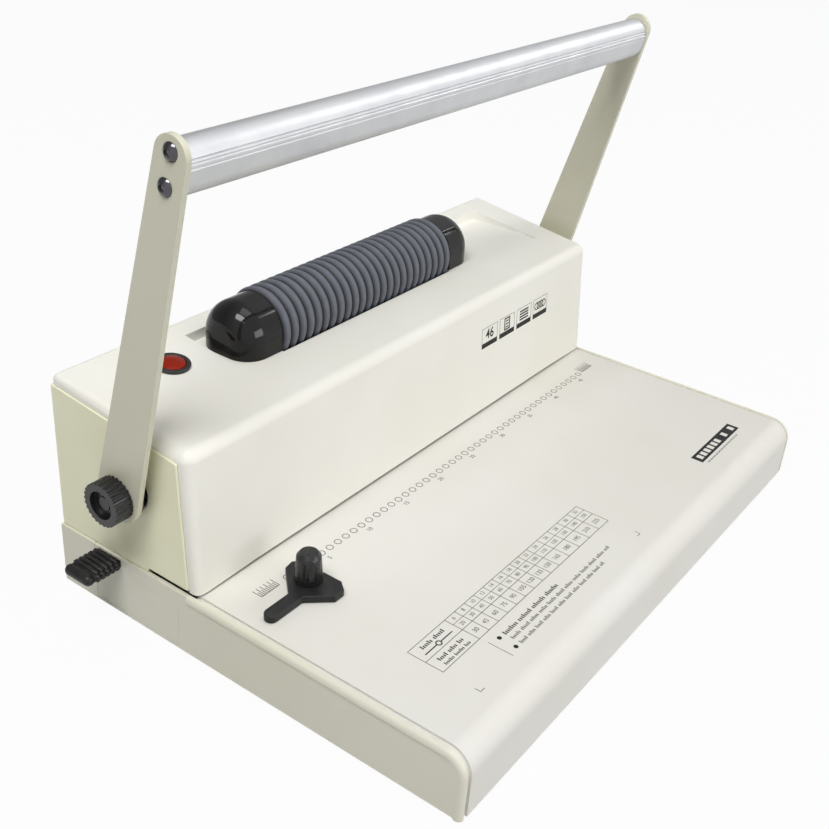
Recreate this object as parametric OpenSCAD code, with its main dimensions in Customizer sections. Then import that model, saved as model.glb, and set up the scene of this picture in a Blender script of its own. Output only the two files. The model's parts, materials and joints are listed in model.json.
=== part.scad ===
// Desk machine that punches a row of round holes and winds plastic coils in with a powered roller.
// Millimetres. X runs along the punch row, the user stands on the -Y side and +Z is up.

/* [Base] */
// Width of the base over its end caps
base_w = 366; // [330:1:380]
// Depth of the base, front to back
base_d = 246; // [225:1:270]
// Height of the table above the floor
table_z = 36.5; // [36:0.5:40]
// Height of the rubber feet
foot_h = 2; // [1.5:0.5:3]
// Radius of a rubber foot
foot_r = 9; // [6:0.5:12]
// Distance of the feet from the base's edges
foot_inset = 32; // [30:1:45]
// Thickness of the folded steel sheets
sheet_t = 1.5; // [1:0.1:2]
// Outer radius where the table wraps over the front
front_r = 12; // [9:1:16]
// Thickness of an end cap
cap_t = 3.2; // [2.8:0.1:3.6]
// Height of the rounding on the outside of an end cap's rim
cap_r = 2.8; // [2.4:0.1:3.4]
// Width of an end cap's raised rim
rim_w = 4.8; // [4.4:0.1:6]
// Rounding on the inside of an end cap's rim
rim_r = 0.8; // [0.5:0.1:1]
// Depth of an end cap's flat face below its rim
face_set = 0.8; // [0.5:0.1:1]
// Width of the groove between the table and an end cap
groove_w = 2; // [1.6:0.1:2.4]
// Depth of the groove between the table and an end cap
groove_d = 1.4; // [1:0.1:1.4]

/* [Housing] */
// Distance of an end panel inside the base's side
housing_step = 2; // [1:0.5:4]
// Depth of the housing, front to back
housing_d = 94; // [93:1:101]
// Distance that the cover's front leans back between its foot and its upper edge
front_lean = 5; // [3:0.5:6]
// Height of the cover's top at the front
cover_front_z = 110.3; // [108.7:0.2:113.7]
// Height of the cover's top at the back
cover_back_z = 120.8; // [118:0.2:124]
// Wall of the moulded covers
shell_t = 2.4; // [2:0.1:2.6]
// Rounding of the cover's upper front edge
edge_r = 6.5; // [5.5:0.5:8.5]
// Rounding of the cover's front corners at their foot
corner_r = 4; // [3:0.5:6]
// Rounding of the cover's back edges
back_r = 3; // [3:0.5:5]
// Thickness of an end panel
panel_t = 3; // [2.4:0.2:4]
// Distance that an end panel stands proud of the cover
panel_proud = 0.8; // [0.2:0.1:1.2]
// Distance of an end panel behind the housing's front face
panel_set = 6; // [5:0.5:7.5]
// Depth of the cover's lip above an end panel
panel_lip = 5.6; // [4.5:0.1:8]
// Rounding of an end panel's upper front corner
panel_corner_r = 1.5; // [1:0.5:5]
// Seam between neighbouring covers
seam = 0.2; // [0.2:0.05:0.4]
// Height of the paper throat
throat_h = 1.8; // [1.6:0.1:2.4]
// Height of the throat under the cover's ends
slit_h = 1; // [0.8:0.1:1.4]
// Height of the slit under an end panel
panel_slit = 1.8; // [1.4:0.1:2]
// Length of each end of the cover where the throat rises to its full height
arch_run = 32; // [20:1:50]
// Depth of the throat behind the housing's front face
throat_d = 33; // [31:0.5:34]
// Depth of the rear lip of the cover
rear_lip = 14; // [10:1:20]
// Number of vents in the rear cover
vent_count = 9; // [5:1:11]
// Pitch of the vents
vent_step = 9; // [6:0.5:10]
// Height of a vent
vent_h = 26; // [15:1:30]

/* [Punch] */
// Least distance of the last pin from a side frame
row_margin = 21; // [20.5:0.5:30]
// Pitch of the punch pins
pin_pitch = 6.35; // [6:0.05:6.4]
// Radius of a punch pin
pin_r = 2; // [1.5:0.1:2.2]
// Radial clearance of a punch pin in its plates
pin_gap = 0.2; // [0.15:0.05:0.3]
// Distance of the punch row behind the housing's front face
punch_set = 18; // [16:0.5:18.5]
// Distance of the paper stop behind the punch row
stop_set = 4.5; // [4:0.5:7]
// Thickness of the die plate and of the guide plate
plate_t = 8; // [6:0.5:9]
// Height of the pin tips above the table at rest
tip_rise = 3.5; // [3:0.5:5]
// Height of the punch bar's underside above the guide plate at rest
bar_rise = 21.3; // [20:0.1:24]
// Height of the punch bar
bar_h = 24; // [20:1:26]
// Depth of the punch bar, front to back
bar_d = 14; // [12:0.5:14]
// Thickness of the pin retainer
retainer_t = 4; // [3:0.5:5]
// Radius of a guide rod
rod_r = 4; // [3:0.5:4.5]
// Distance of a guide rod beyond the last pin
rod_set = 9; // [8.5:0.5:10]
// Thickness of a side frame
frame_t = 4; // [3:0.5:5]
// Distance of a side frame inside an end panel
frame_set = 10; // [8:0.5:11]

/* [Handle] */
// Lean of the handle towards the user at rest, degrees
handle_lean = 14.1; // [10:0.1:18]
// Height of the pivot above the floor
pivot_z = 80.1; // [78.5:0.1:81.5]
// Distance of the pivot behind the housing's front face
pivot_set = 40.7; // [40.4:0.1:42.5]
// Distance from the pivot to the middle of the grip
arm_len = 168; // [150:0.5:185]
// Thickness of an arm
arm_t = 3; // [2.5:0.5:5]
// Radius of an arm's upper end
arm_top_r = 8.5; // [7.5:0.1:10]
// Distance of an arm's upper rounding below the upper bolt
arm_drop = 1.8; // [0:0.1:2.5]
// Radius of an arm's lower end
arm_low_r = 13.2; // [12:0.1:15]
// Gap between an end panel and an arm
arm_gap = 5.7; // [4.5:0.1:7]
// Radius of the black washer behind an arm
washer_r = 12; // [10:0.1:13]
// Thickness of the black washer behind an arm
washer_t = 2.4; // [1.5:0.1:3]
// Length of the grip's section along the arm
grip_l = 23; // [21.5:0.5:28]
// Thickness of the grip's section
grip_t = 16.5; // [15:0.5:20]
// Distance between a grip's two bolts
bolt_pitch = 14.7; // [13:0.1:15]
// Radius of a bolt's shank
bolt_r = 2.5; // [2:0.1:3]
// Radius of a bolt's domed head
bolt_head_r = 4; // [3.6:0.1:4.8]
// Height of a bolt's domed head
bolt_head_h = 2.2; // [1.8:0.1:2.8]
// Radius of the drive shaft
shaft_r = 7; // [6:0.5:7.5]
// Radius of a clamp knob
knob_r = 11; // [10:0.5:14]
// Thickness of a clamp knob
knob_t = 9.5; // [8:0.5:12]
// Number of flutes around a clamp knob
knob_flutes = 26; // [20:1:30]

/* [Drive] */
// Module of the pinions and racks
gear_module = 1.25; // [1.2:0.01:1.3]
// Number of teeth of a pinion
gear_teeth = 17; // [17:1:17]
// Width of a pinion and of its rack
gear_w = 14; // [10:1:16]
// Distance of a pinion's middle inside a guide rod
gear_set = 27; // [22:0.5:32]
// Play between the teeth of a pinion and its rack
backlash = 0.24; // [0.2:0.02:0.3]
// Travel of the punch bar at full pull
bar_travel = 13.9; // [12:0.1:14]

/* [Roller] */
// Middle of the roller, right of the machine's middle
roller_x = -3.5; // [-10:0.5:10]
// Distance of the roller's axis behind the housing's front face
roller_set = 59.5; // [58:0.5:61]
// Height of the roller's axis above the floor of the recess
roller_rise = 8.1; // [6:0.1:10]
// Length of the ribbed sleeve
sleeve_len = 148.5; // [130:0.5:150]
// Radius over the ribs of the sleeve
sleeve_r = 20; // [19:0.1:21]
// Number of ribs on the sleeve
rib_count = 24; // [16:1:28]
// Height of a rib
rib_h = 1.6; // [1:0.1:2]
// Radius of the drum inside the sleeve
drum_r = 14; // [10:0.5:15]
// Radius of the roller's shaft
spindle_r = 4; // [3:0.5:5]
// Radius of a domed end cover
dome_r = 18.5; // [17:0.1:19]
// Length of a domed end cover
dome_len = 25; // [22:0.5:28]
// Rounding of a domed end cover's nose
dome_round = 13; // [8:0.5:15]
// Wall of a domed end cover
dome_t = 2; // [1.6:0.1:2.4]
// Distance behind the housing's front face where the recess begins
recess_set = 29.5; // [28:0.5:33]
// Distance of the recess's right end from an end panel
recess_inset = 24; // [17:1:41]
// Radius of the roller's pulley
pulley_r = 11; // [9:0.5:12]
// Radius of the motor's pulley
motor_pulley_r = 6; // [5:0.5:7]
// Radius of the motor
motor_r = 16; // [12:0.5:17]
// Length of the motor
motor_len = 46; // [30:1:55]
// Height of the motor's axis above the base plate
motor_rise = 58.5; // [57:0.5:60]
// Distance of the motor's axis behind the roller's axis
motor_back = 10.5; // [9:0.5:12]

/* [Button] */
// Distance of the button left of the recess
button_side = 24.25; // [22:0.25:27]
// Distance of the button behind the housing's front face
button_set = 64; // [61:0.5:69]
// Radius of the button's ring
ring_r = 9; // [8.8:0.1:11]
// Radius of the button's cap
button_r = 6.6; // [5:0.1:6.8]
// Travel of the button
button_travel = 2; // [1:0.1:2.5]

/* [Chip tray] */
// Depth of the tray, front to back
tray_d = 57.5; // [54:0.5:58]
// Height of the tray's rim above the base plate
tray_h = 20; // [14:0.5:20]
// Wall of the tray
tray_t = 2; // [1.4:0.1:3]
// Clearance around the tray's door
door_gap = 0.15; // [0.1:0.05:0.3]
// Length of the pull grip
pull_len = 20.5; // [19:0.5:30]
// Width of the pull grip
pull_w = 18; // [12:0.5:20]
// Thickness of the pull grip
pull_t = 6; // [4:0.5:7]
// Number of ribs on the pull grip
pull_ribs = 5; // [3:1:5]

/* [Edge guide] */
// Distance of the guide's knob from the base's left side
guide_inset = 44; // [42:0.5:55]
// Distance of the guide's knob in front of the housing
guide_set = 31; // [27:0.5:52]
// Thickness of the guide
guide_t = 4; // [3:0.5:6]
// Travel of the guide to the left
guide_left = 8; // [4:0.5:8]
// Travel of the guide to the right
guide_right = 4; // [2:0.5:6]
// Radius of the guide knob's foot
guide_knob_r = 7; // [6:0.1:8]
// Height of the guide's knob
guide_knob_h = 15.5; // [12:0.5:20]
// Radius of the guide's stud
stud_r = 3; // [2:0.1:3.5]

/* [Power] */
// Width of the power inlet
inlet_w = 30; // [26:1:34]
// Height of the power inlet
inlet_h = 24; // [20:1:28]
// Depth of the power inlet
inlet_d = 21; // [16:1:24]
// Distance of the power inlet right of the roller's pulley
inlet_set = 11.75; // [8:0.25:20]
// Height of the power inlet above the base plate
inlet_rise = 54; // [45:0.5:56]
// Width of the power board
board_w = 90; // [60:1:110]
// Distance of the power board from the left side frame
board_inset = 34; // [10:1:50]
// Height of the power board above the base plate
board_rise = 8; // [4:0.5:12]

/* [Hidden] */
$fn = 48;
HULL_FN = 32;
cream = [0.86, 0.85, 0.77];
black = [0.10, 0.10, 0.11];
steel = [0.62, 0.63, 0.65];
silver = [0.80, 0.81, 0.82];
rubber = [0.36, 0.37, 0.40];
// Running clearance of a shaft in its hole, on the radius
run_gap = 0.05;
// Clearance between loosely fitted or sliding pieces
free_gap = 0.3;
// Clearance of a screw in its hole
screw_gap = 0.1;
// Overshoot of a cutting shape
over = 1;

in_x = base_w / 2 - cap_t;
floor_z = foot_h + sheet_t;
housing_y = base_d - housing_d;
seam_drop = 0.5;
seam_z = table_z - seam_drop;
throat_z = table_z + throat_h;
throat_y = housing_y + throat_d;
slope = (cover_back_z - cover_front_z) / housing_d;
tilt = atan(slope);
panel_y = housing_y + panel_set;
panel_x = base_w / 2 - housing_step;
cover_x = panel_x - panel_proud;
slit_z = table_z + slit_h;
edge_y = housing_y + front_lean + edge_r;
edge_z = cover_z(edge_y) - edge_r * sqrt(1 + slope * slope);
lean = front_lean / (edge_z - slit_z);
lean_angle = atan(lean);
rear_top = cover_back_z - rear_lip;

die_y = housing_y + shell_t;
plate_back = throat_y + over;
punch_y = housing_y + punch_set;
frame_out = panel_x - panel_t - frame_set;
frame_in = frame_out - frame_t;
pin_count = floor(2 * (frame_in - row_margin) / pin_pitch) + 1;
pin_half = (pin_count - 1) * pin_pitch / 2;
rod_x = pin_half + rod_set;
frame_y = die_y + free_gap;
frame_back = base_d - sheet_t - 6;
frame_top = cover_front_z - shell_t - 4.2;
guide_top = throat_z + plate_t;
bar_z = guide_top + bar_rise;
bar_back = punch_y + bar_d / 2;
bar_end = rod_x + 6;
cross_h = 6;

pivot_y = housing_y + pivot_set;
arm_x = panel_x + arm_gap;
arm_out = arm_x + arm_t;
knob_out = arm_out + free_gap + knob_t;
arm_span = arm_len + bolt_pitch / 2 - arm_drop;
bush_r = shaft_r + 4;
knob_stud_r = 4;
knob_stud_l = 4.5;

pitch_r = gear_module * gear_teeth / 2;
rack_y = pivot_y - pitch_r;
gear_x = rod_x - gear_set;
rack_pitch = PI * gear_module;
pressure = 20;
dedendum = 1.25 * gear_module;
rack_low = 2;
rack_high = ceil((bar_travel + 7) / rack_pitch);

recess_y = housing_y + recess_set;
recess_z = cover_z(recess_y);
roller_y = housing_y + roller_set;
roller_z = recess_z + roller_rise;
recess_back = roller_y + sleeve_r + over;
recess_right = panel_x - recess_inset;
sleeve_left = roller_x - sleeve_len / 2;
sleeve_right = roller_x + sleeve_len / 2;
dome_gap = 0.5;
dome_wall = 3;
recess_left = sleeve_left - dome_gap - dome_len - 4.5;
bearing_r = spindle_r + 4;
pulley_w = 8;
pulley_x = sleeve_right + dome_gap + dome_wall + 2;
belt_t = 1.6;
belt_w = 6;
motor_y = roller_y + motor_back;
motor_z = floor_z + motor_rise;
bracket_t = 2.5;
motor_x = pulley_x - 6;
motor_front = 3;
motor_wall = 3;
motor_shaft_r = 2.5;

button_x = recess_left - button_side;
button_y = housing_y + button_set;
barrel_r = ring_r - 1.1;
barrel_h = 12;
ring_h = 1.6;

tray_gap = 0.5;
tray_y = punch_y - 6;
tray_back = tray_y + tray_d;
tray_z = floor_z + tray_gap;
tray_rim = tray_z + tray_h;
tray_right = frame_in - 4;
tray_door_t = 4.5;
tray_door_low = tray_rim + 3;
tray_door_top = seam_z - door_gap;
tray_x = face_set - base_w / 2;
tray_door_y = tray_back - pull_w - 7;
pull_z = tray_door_top - pull_t;
pull_y = tray_back - pull_w - 2;
rail_w = 2.5;

guide_x = guide_inset - base_w / 2;
guide_y = housing_y - guide_set;
guide_z = table_z + 0.15;
guide_top_z = guide_z + guide_t;

inlet_x = pulley_x + pulley_w + inlet_set;
inlet_z = floor_z + inlet_rise;

// Reach of the whole machine to the left and right, which the frame's origin halves
reach_left = max(base_w / 2 + pull_len, knob_out);
reach_right = knob_out;

// Height of the sloping top at a distance from the base's front edge
function cover_z(y) = cover_front_z + slope * (y - housing_y);

// Distance of the leaning front face from the base's front edge at a height
function lean_y(z) = housing_y + lean * (z - slit_z);

// Height of an end panel's upper edge, under the cover's lip
function panel_z(y) = cover_z(y) - panel_lip;

// Turns of an involute flank, in degrees, between its base circle and a radius
function involute(r, base_r) = tan(acos(base_r / r)) * 180 / PI - acos(base_r / r);

// The machine, moved so that the origin is under the middle of its box
module placed() {
    translate([(reach_left - reach_right) / 2, -base_d / 2, 0])
        children();
}

// An outline of depth and height, extruded to the right from x
module along_x(x, length) {
    translate([x, 0, 0])
        rotate([90, 0, 90])
            linear_extrude(length)
                children();
}

// A round bar to the right from x
module bar_x(x, length, y, z, r) {
    translate([x, y, z])
        rotate([0, 90, 0])
            cylinder(r = r, h = length);
}

module both_sides() {
    children();
    mirror([1, 0, 0])
        children();
}

// An outline in the plane of an arm, with the pivot at its origin and the arm upwards
module along_arm(x, length) {
    along_x(x, length)
        translate([pivot_y, pivot_z])
            rotate(handle_lean)
                children();
}

// Round slot along X, from left to right of its middle
module slot(left, right, r) {
    translate([-left, -r])
        square([left + right, 2 * r]);
    for (x = [-left, right])
        translate([x, 0])
            circle(r);
}

// Screw pointing down from the underside of its head
module screw(r, length, head_r, head_h) {
    translate([0, 0, -length])
        cylinder(r = r, h = length);
    cylinder(r = head_r, h = head_h);
}

module base_plate() {
    color(steel)
        difference() {
            union() {
                translate([-in_x, sheet_t, foot_h])
                    cube([2 * in_x, base_d - sheet_t, sheet_t]);
                translate([-in_x, base_d - sheet_t, foot_h])
                    cube([2 * in_x, sheet_t, seam_z - foot_h]);
            }
            base_screw_places()
                translate([0, 0, foot_h - over])
                    cylinder(r = 2 + screw_gap, h = sheet_t + 2 * over);
        }
}

module base_screw_places() {
    for (sx = [-1, 1])
        for (y = [frame_back - 4, die_y + 2.8])
            translate([sx * (frame_in + frame_t / 2), y, 0])
                children();
}

module base_screws() {
    color(steel)
        base_screw_places()
            translate([0, 0, foot_h])
                mirror([0, 0, 1])
                    screw(1.5, sheet_t, 3.5, foot_h * 0.6);
}

// Section of the table sheet with the fold over the front edge, drawn in by a distance
module table_section(inset, low) {
    outer_r = front_r - inset;
    translate([front_r, table_z - inset - sheet_t])
        square([die_y - front_r, sheet_t]);
    translate([inset, low])
        square([sheet_t, table_z - front_r - low]);
    translate([front_r, table_z - front_r])
        intersection() {
            difference() {
                circle(outer_r);
                circle(outer_r - sheet_t);
            }
            translate([-front_r, 0])
                square(front_r);
        }
}

module table_top() {
    color(cream)
        difference() {
            union() {
                along_x(groove_w - in_x, 2 * (in_x - groove_w))
                    table_section(0, foot_h);
                both_sides() {
                    along_x(in_x - 4 * groove_w, 4 * groove_w)
                        table_section(groove_d, floor_z);
                    translate([frame_out + free_gap, front_r, table_z - sheet_t])
                        cube([in_x - groove_w - frame_out - free_gap, throat_y - front_r, sheet_t]);
                }
            }
            translate([guide_x, guide_y, table_z - sheet_t - over])
                linear_extrude(sheet_t + 2 * over)
                    slot(guide_left, guide_right, stud_r + free_gap);
        }
}

// Side view of an end cap, drawn in by a distance all round except at the back and bottom
module cap_outline(inset) {
    r = front_r - inset;
    translate([front_r, foot_h])
        square([base_d - front_r, table_z - inset - foot_h]);
    translate([inset, foot_h])
        square([front_r, table_z - front_r - foot_h]);
    translate([front_r, table_z - front_r])
        circle(r);
}

// End cap on the right: its rim is rounded in steps, its flat face set in, and a ledge carries the panel
module end_cap() {
    steps = 6;
    slice = 0.01;
    ledge_w = 2 * panel_t;
    translate([in_x - ledge_w, throat_y + free_gap, seam_z - shell_t])
        cube([ledge_w + rim_r, base_d - sheet_t - free_gap - throat_y - free_gap, shell_t]);
    difference() {
        hull()
            for (i = [0 : steps]) {
                a = 90 * i / steps;
                along_x(base_w / 2 - slice - (cap_t - rim_r) * (1 - cos(a)), slice, $fn = HULL_FN)
                    cap_outline(cap_r * (1 - sin(a)));
                along_x(in_x + rim_r * (1 - cos(a)), slice, $fn = HULL_FN)
                    cap_outline(rim_r * (1 - sin(a)));
            }
        hull() {
            along_x(base_w / 2, slice, $fn = HULL_FN)
                cap_outline((cap_r + rim_w) / 2 - face_set / 2);
            along_x(base_w / 2 - face_set, slice, $fn = HULL_FN)
                cap_outline(rim_w);
        }
        translate([base_w / 2 - face_set, panel_y, 0])
            cube([cap_t, base_d, base_w]);
        translate([0, panel_y, seam_z])
            cube([base_w, base_d, base_w]);
    }
    translate([in_x, panel_y, foot_h])
        cube([cap_t - face_set, base_d - panel_y, seam_z - foot_h]);
}

// Side view of the tray's door, with the step under the throat
module door_outline(grow) {
    translate([tray_y - grow, tray_z - grow])
        square([tray_d + 2 * grow, tray_door_low - tray_z + 2 * grow]);
    translate([tray_door_y - grow, tray_z - grow])
        square([tray_back - tray_door_y + 2 * grow, tray_door_top - tray_z + 2 * grow]);
}

module left_end_cap() {
    color(cream)
        difference() {
            mirror([1, 0, 0])
                end_cap();
            along_x(-base_w, base_w)
                door_outline(door_gap);
        }
}

module right_end_cap() {
    color(cream)
        end_cap();
}

module foot_places() {
    for (x = [-1, 1])
        for (y = [foot_inset, base_d - foot_inset])
            translate([x * (in_x - foot_inset), y, 0])
                children();
}

module rubber_feet() {
    color(black)
        foot_places()
            cylinder(r1 = foot_r - 1, r2 = foot_r, h = foot_h);
}

// Rounded block with the cover's sloping top and leaning front, drawn in by a distance, down to a height
module cover_block(inset, low) {
    back_y = base_d - back_r;
    hull()
        for (sx = [-1, 1]) {
            translate([sx * (cover_x - edge_r), edge_y, edge_z])
                sphere(edge_r - inset, $fn = HULL_FN);
            translate([sx * (cover_x - corner_r), lean_y(low) + corner_r, low])
                cylinder(r = corner_r - inset, h = over, $fn = HULL_FN);
            translate([sx * (cover_x - back_r), back_y, cover_z(back_y) - back_r * sqrt(1 + slope * slope)])
                sphere(back_r - inset, $fn = HULL_FN);
            translate([sx * (cover_x - back_r), back_y, low])
                cylinder(r = back_r - inset, h = over, $fn = HULL_FN);
        }
}

// Side view of an end panel down to a height, grown by a seam for the cover's cut
module panel_outline(grow, low, back) {
    r = panel_corner_r;
    in_front = (r - grow) / cos(lean_angle);
    in_top = (r - grow) / cos(tilt);
    y = (panel_y + in_front + lean * (panel_z(0) - in_top - slit_z)) / (1 - lean * slope);
    z = panel_z(y) - in_top;
    polygon([
        [panel_y - grow / cos(lean_angle) + lean * (low - slit_z), low],
        [back, low],
        [back, panel_z(back) + grow / cos(tilt)],
        [y - r * sin(tilt), z + r * cos(tilt)],
        [y, z],
        [y - r * cos(lean_angle), z + r * sin(lean_angle)],
    ]);
    translate([y, z])
        circle(r);
}

// Opening of the throat under the cover's front wall, which rises from both ends
module throat_arch() {
    foot_x = cover_x - 2 * corner_r;
    translate([0, throat_y, 0])
        rotate([90, 0, 0])
            linear_extrude(throat_y)
                polygon([
                    [-foot_x, slit_z - over],
                    [-foot_x, slit_z],
                    [arch_run - foot_x, throat_z],
                    [foot_x - arch_run, throat_z],
                    [foot_x, slit_z],
                    [foot_x, slit_z - over],
                ]);
}

// Section of the material under the recess
module recess_floor_section() {
    front_y = recess_y - shell_t / (4 * slope);
    back_y = recess_back + shell_t;
    polygon([
        [front_y, cover_z(front_y) - shell_t / 2],
        [front_y, recess_z - shell_t],
        [back_y, recess_z - shell_t],
        [back_y, cover_z(back_y) - shell_t / 2],
    ]);
}

// Window in the recess's floor for the roller and its belt
module roller_window() {
    half = sqrt(sleeve_r * sleeve_r - roller_rise * roller_rise) + over;
    translate([sleeve_left - dome_gap / 2, roller_y - half, recess_z - 2 * shell_t])
        cube([sleeve_len + dome_gap, 2 * half, 3 * shell_t]);
    belt_half = dome_r - dome_t - over;
    translate([sleeve_right, roller_y - belt_half, recess_z - 2 * shell_t])
        cube([dome_gap + dome_len - dome_round + over, 2 * belt_half, 3 * shell_t]);
}

// Frame of the button: origin on the cover, +Z out of it
module at_button() {
    translate([button_x, button_y, cover_z(button_y)])
        rotate([tilt, 0, 0])
            children();
}

module top_cover() {
    color(cream)
        difference() {
            union() {
                difference() {
                    cover_block(0, slit_z);
                    cover_block(shell_t, slit_z - 2 * over);
                }
                along_x(recess_left - shell_t, recess_right - recess_left + 2 * shell_t)
                    recess_floor_section();
            }
            along_x(recess_left, recess_right - recess_left)
                polygon([
                    [recess_y, recess_z],
                    [recess_back, recess_z],
                    [recess_back, 2 * cover_back_z],
                    [recess_y, 2 * cover_back_z],
                ]);
            both_sides()
                along_x(cover_x - 2 * shell_t, panel_x)
                    panel_outline(seam, 0, 2 * base_d);
            translate([-base_w, base_d - back_r - over, 0])
                cube([2 * base_w, base_d, rear_top + seam]);
            throat_arch();
            roller_window();
            at_button()
                translate([0, 0, -barrel_h])
                    cylinder(r = barrel_r + screw_gap, h = 2 * barrel_h);
        }
}

// End panel on the right
module end_panel() {
    color(cream)
        difference() {
            along_x(panel_x - panel_t, panel_t)
                panel_outline(0, seam_z, base_d);
            cube([base_w, throat_y, table_z + panel_slit]);
            bar_x(0, base_w, pivot_y, pivot_z, shaft_r + 3);
        }
}

module left_end_panel() {
    mirror([1, 0, 0])
        end_panel();
}

module right_end_panel() {
    end_panel();
}

// Places on the rear cover, with +Z pointing out of its back
module rear_screw_places() {
    for (sx = [-1, 1])
        for (z = [seam_z + 8, rear_top - 8])
            translate([sx * (panel_x - panel_t - 9), base_d, z])
                rotate([-90, 0, 0])
                    children();
}

module rear_cover() {
    vent_w = vent_step / 3;
    vents_x = inlet_x - 2 * inlet_w - vent_count * vent_step;
    half = panel_x - panel_t;
    head_depth = shell_t / 2;
    color(cream)
        difference() {
            translate([-half, base_d - shell_t, seam_z])
                cube([2 * half, shell_t, rear_top - seam_z]);
            for (i = [0 : vent_count - 1])
                translate([vents_x + i * vent_step, base_d - shell_t - over, motor_z - vent_h / 2])
                    cube([vent_w, shell_t + 2 * over, vent_h]);
            translate([inlet_x - free_gap, base_d - shell_t - over, inlet_z - free_gap])
                cube([inlet_w + 2 * free_gap, shell_t + 2 * over, inlet_h + 2 * free_gap]);
            rear_screw_places() {
                translate([0, 0, -shell_t - over])
                    cylinder(r = 1.5 + screw_gap, h = shell_t + 2 * over);
                translate([0, 0, -head_depth])
                    cylinder(r = 3 + screw_gap, h = shell_t);
            }
        }
}

module rear_screws() {
    color(steel)
        rear_screw_places()
            translate([0, 0, -shell_t / 2])
                screw(1.5, 5, 3, shell_t / 2);
}

// Side frame on the right: it carries the plates, the shaft and the cross bar, and its front leans
module side_frame() {
    wall_gap = shell_t / cos(lean_angle) + free_gap;
    difference() {
        translate([frame_in, frame_y, floor_z])
            cube([frame_t, frame_back - frame_y, frame_top - floor_z]);
        translate([0, 0, table_z])
            cube([base_w, throat_y, throat_h]);
        along_x(frame_in - over, frame_t + 2 * over)
            polygon([
                [frame_y - over, slit_z],
                [lean_y(slit_z) + wall_gap, slit_z],
                [lean_y(frame_top + over) + wall_gap, frame_top + over],
                [frame_y - over, frame_top + over],
            ]);
        bar_x(0, base_w, pivot_y, pivot_z, bush_r + run_gap);
    }
}

module left_side_frame() {
    color(steel)
        difference() {
            mirror([1, 0, 0])
                side_frame();
            translate([-base_w, tray_y - over, 0])
                cube([base_w, tray_d + 2 * over, tray_rim + over]);
        }
}

module right_side_frame() {
    color(steel)
        side_frame();
}

module pin_places() {
    for (i = [0 : pin_count - 1])
        translate([i * pin_pitch - pin_half, punch_y, 0])
            children();
}

die_screw_x = [-0.48, -0.16, 0.16, 0.48];

module die_screw_places() {
    for (k = die_screw_x)
        translate([k * 2 * pin_half, (punch_y + stop_set + plate_back) / 2, 0])
            children();
}

// Plate across the frames, drilled for the pins and for the screws that clamp the plates
module pin_plate(y, z) {
    difference() {
        translate([-frame_in, y, z])
            cube([2 * frame_in, plate_back - y, plate_t]);
        pin_places()
            translate([0, 0, z - over])
                cylinder(r = pin_r + pin_gap, h = plate_t + 2 * over, $fn = 24);
        die_screw_places()
            translate([0, 0, z - over])
                cylinder(r = 2 + screw_gap, h = plate_t + 2 * over);
    }
}

module die_plate() {
    color(steel)
        pin_plate(die_y, table_z - plate_t);
}

module paper_stop() {
    color(steel)
        difference() {
            translate([-frame_in, punch_y + stop_set, table_z])
                cube([2 * frame_in, plate_back - punch_y - stop_set, throat_h]);
            die_screw_places()
                cylinder(r = 2 + screw_gap, h = 2 * throat_z);
        }
}

rod_seat = 5;

module guide_plate() {
    color(steel)
        difference() {
            pin_plate(die_y + 2, throat_z);
            both_sides()
                translate([rod_x, punch_y, guide_top - rod_seat])
                    cylinder(r = rod_r + screw_gap, h = plate_t);
        }
}

module die_screws() {
    color(steel)
        die_screw_places()
            translate([0, 0, guide_top])
                screw(2, plate_t + throat_h + plate_t - over, 3.5, 2.5);
}

module guide_rods() {
    color(silver)
        both_sides()
            translate([rod_x, punch_y, guide_top - rod_seat])
                cylinder(r = rod_r, h = frame_top - guide_top + rod_seat - over);
}

module cross_bar() {
    color(steel)
        difference() {
            translate([-frame_in, punch_y - bar_d / 2, frame_top - cross_h])
                cube([2 * frame_in, bar_d - over, cross_h]);
            both_sides()
                translate([rod_x, punch_y, frame_top - cross_h - over])
                    cylinder(r = rod_r + screw_gap, h = cross_h);
        }
}

module return_springs() {
    color(silver)
        both_sides()
            translate([rod_x, punch_y, guide_top])
                difference() {
                    cylinder(r = rod_r + 2.2, h = bar_rise - free_gap);
                    translate([0, 0, -over])
                        cylinder(r = rod_r + 0.8, h = bar_rise + 2 * over);
                }
}

// Flanged bush in the right side frame
module shaft_bush() {
    difference() {
        union() {
            bar_x(frame_in, frame_t + 2, pivot_y, pivot_z, bush_r);
            bar_x(frame_in - 2, 2, pivot_y, pivot_z, bush_r + 3);
        }
        bar_x(0, base_w, pivot_y, pivot_z, shaft_r + run_gap);
    }
}

module shaft_bushes() {
    color("goldenrod")
        both_sides()
            shaft_bush();
}

module inserter_motor() {
    color(steel)
        difference() {
            union() {
                bar_x(motor_x - motor_len, motor_len, motor_y, motor_z, motor_r);
                bar_x(motor_x, motor_front, motor_y, motor_z, motor_pulley_r);
            }
            bar_x(motor_x - motor_len + motor_wall, motor_len - 2 * motor_wall, motor_y, motor_z,
                motor_r - motor_wall);
            bar_x(motor_x - motor_len / 2, motor_len, motor_y, motor_z, motor_shaft_r + run_gap);
        }
}

module motor_bracket() {
    leg_y = tray_back + tray_gap + rail_w + free_gap;
    leg_d = frame_back - leg_y;
    foot_w = 20;
    color(steel)
        difference() {
            union() {
                translate([motor_x, leg_y, floor_z])
                    cube([bracket_t, leg_d, motor_z - floor_z]);
                translate([motor_x, motor_y - motor_r, motor_z - motor_r])
                    cube([bracket_t, 2 * motor_r, 2 * motor_r]);
                translate([motor_x - foot_w, leg_y, floor_z])
                    cube([foot_w, leg_d, bracket_t]);
            }
            bar_x(0, base_w, motor_y, motor_z, motor_pulley_r + screw_gap);
        }
}

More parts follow.
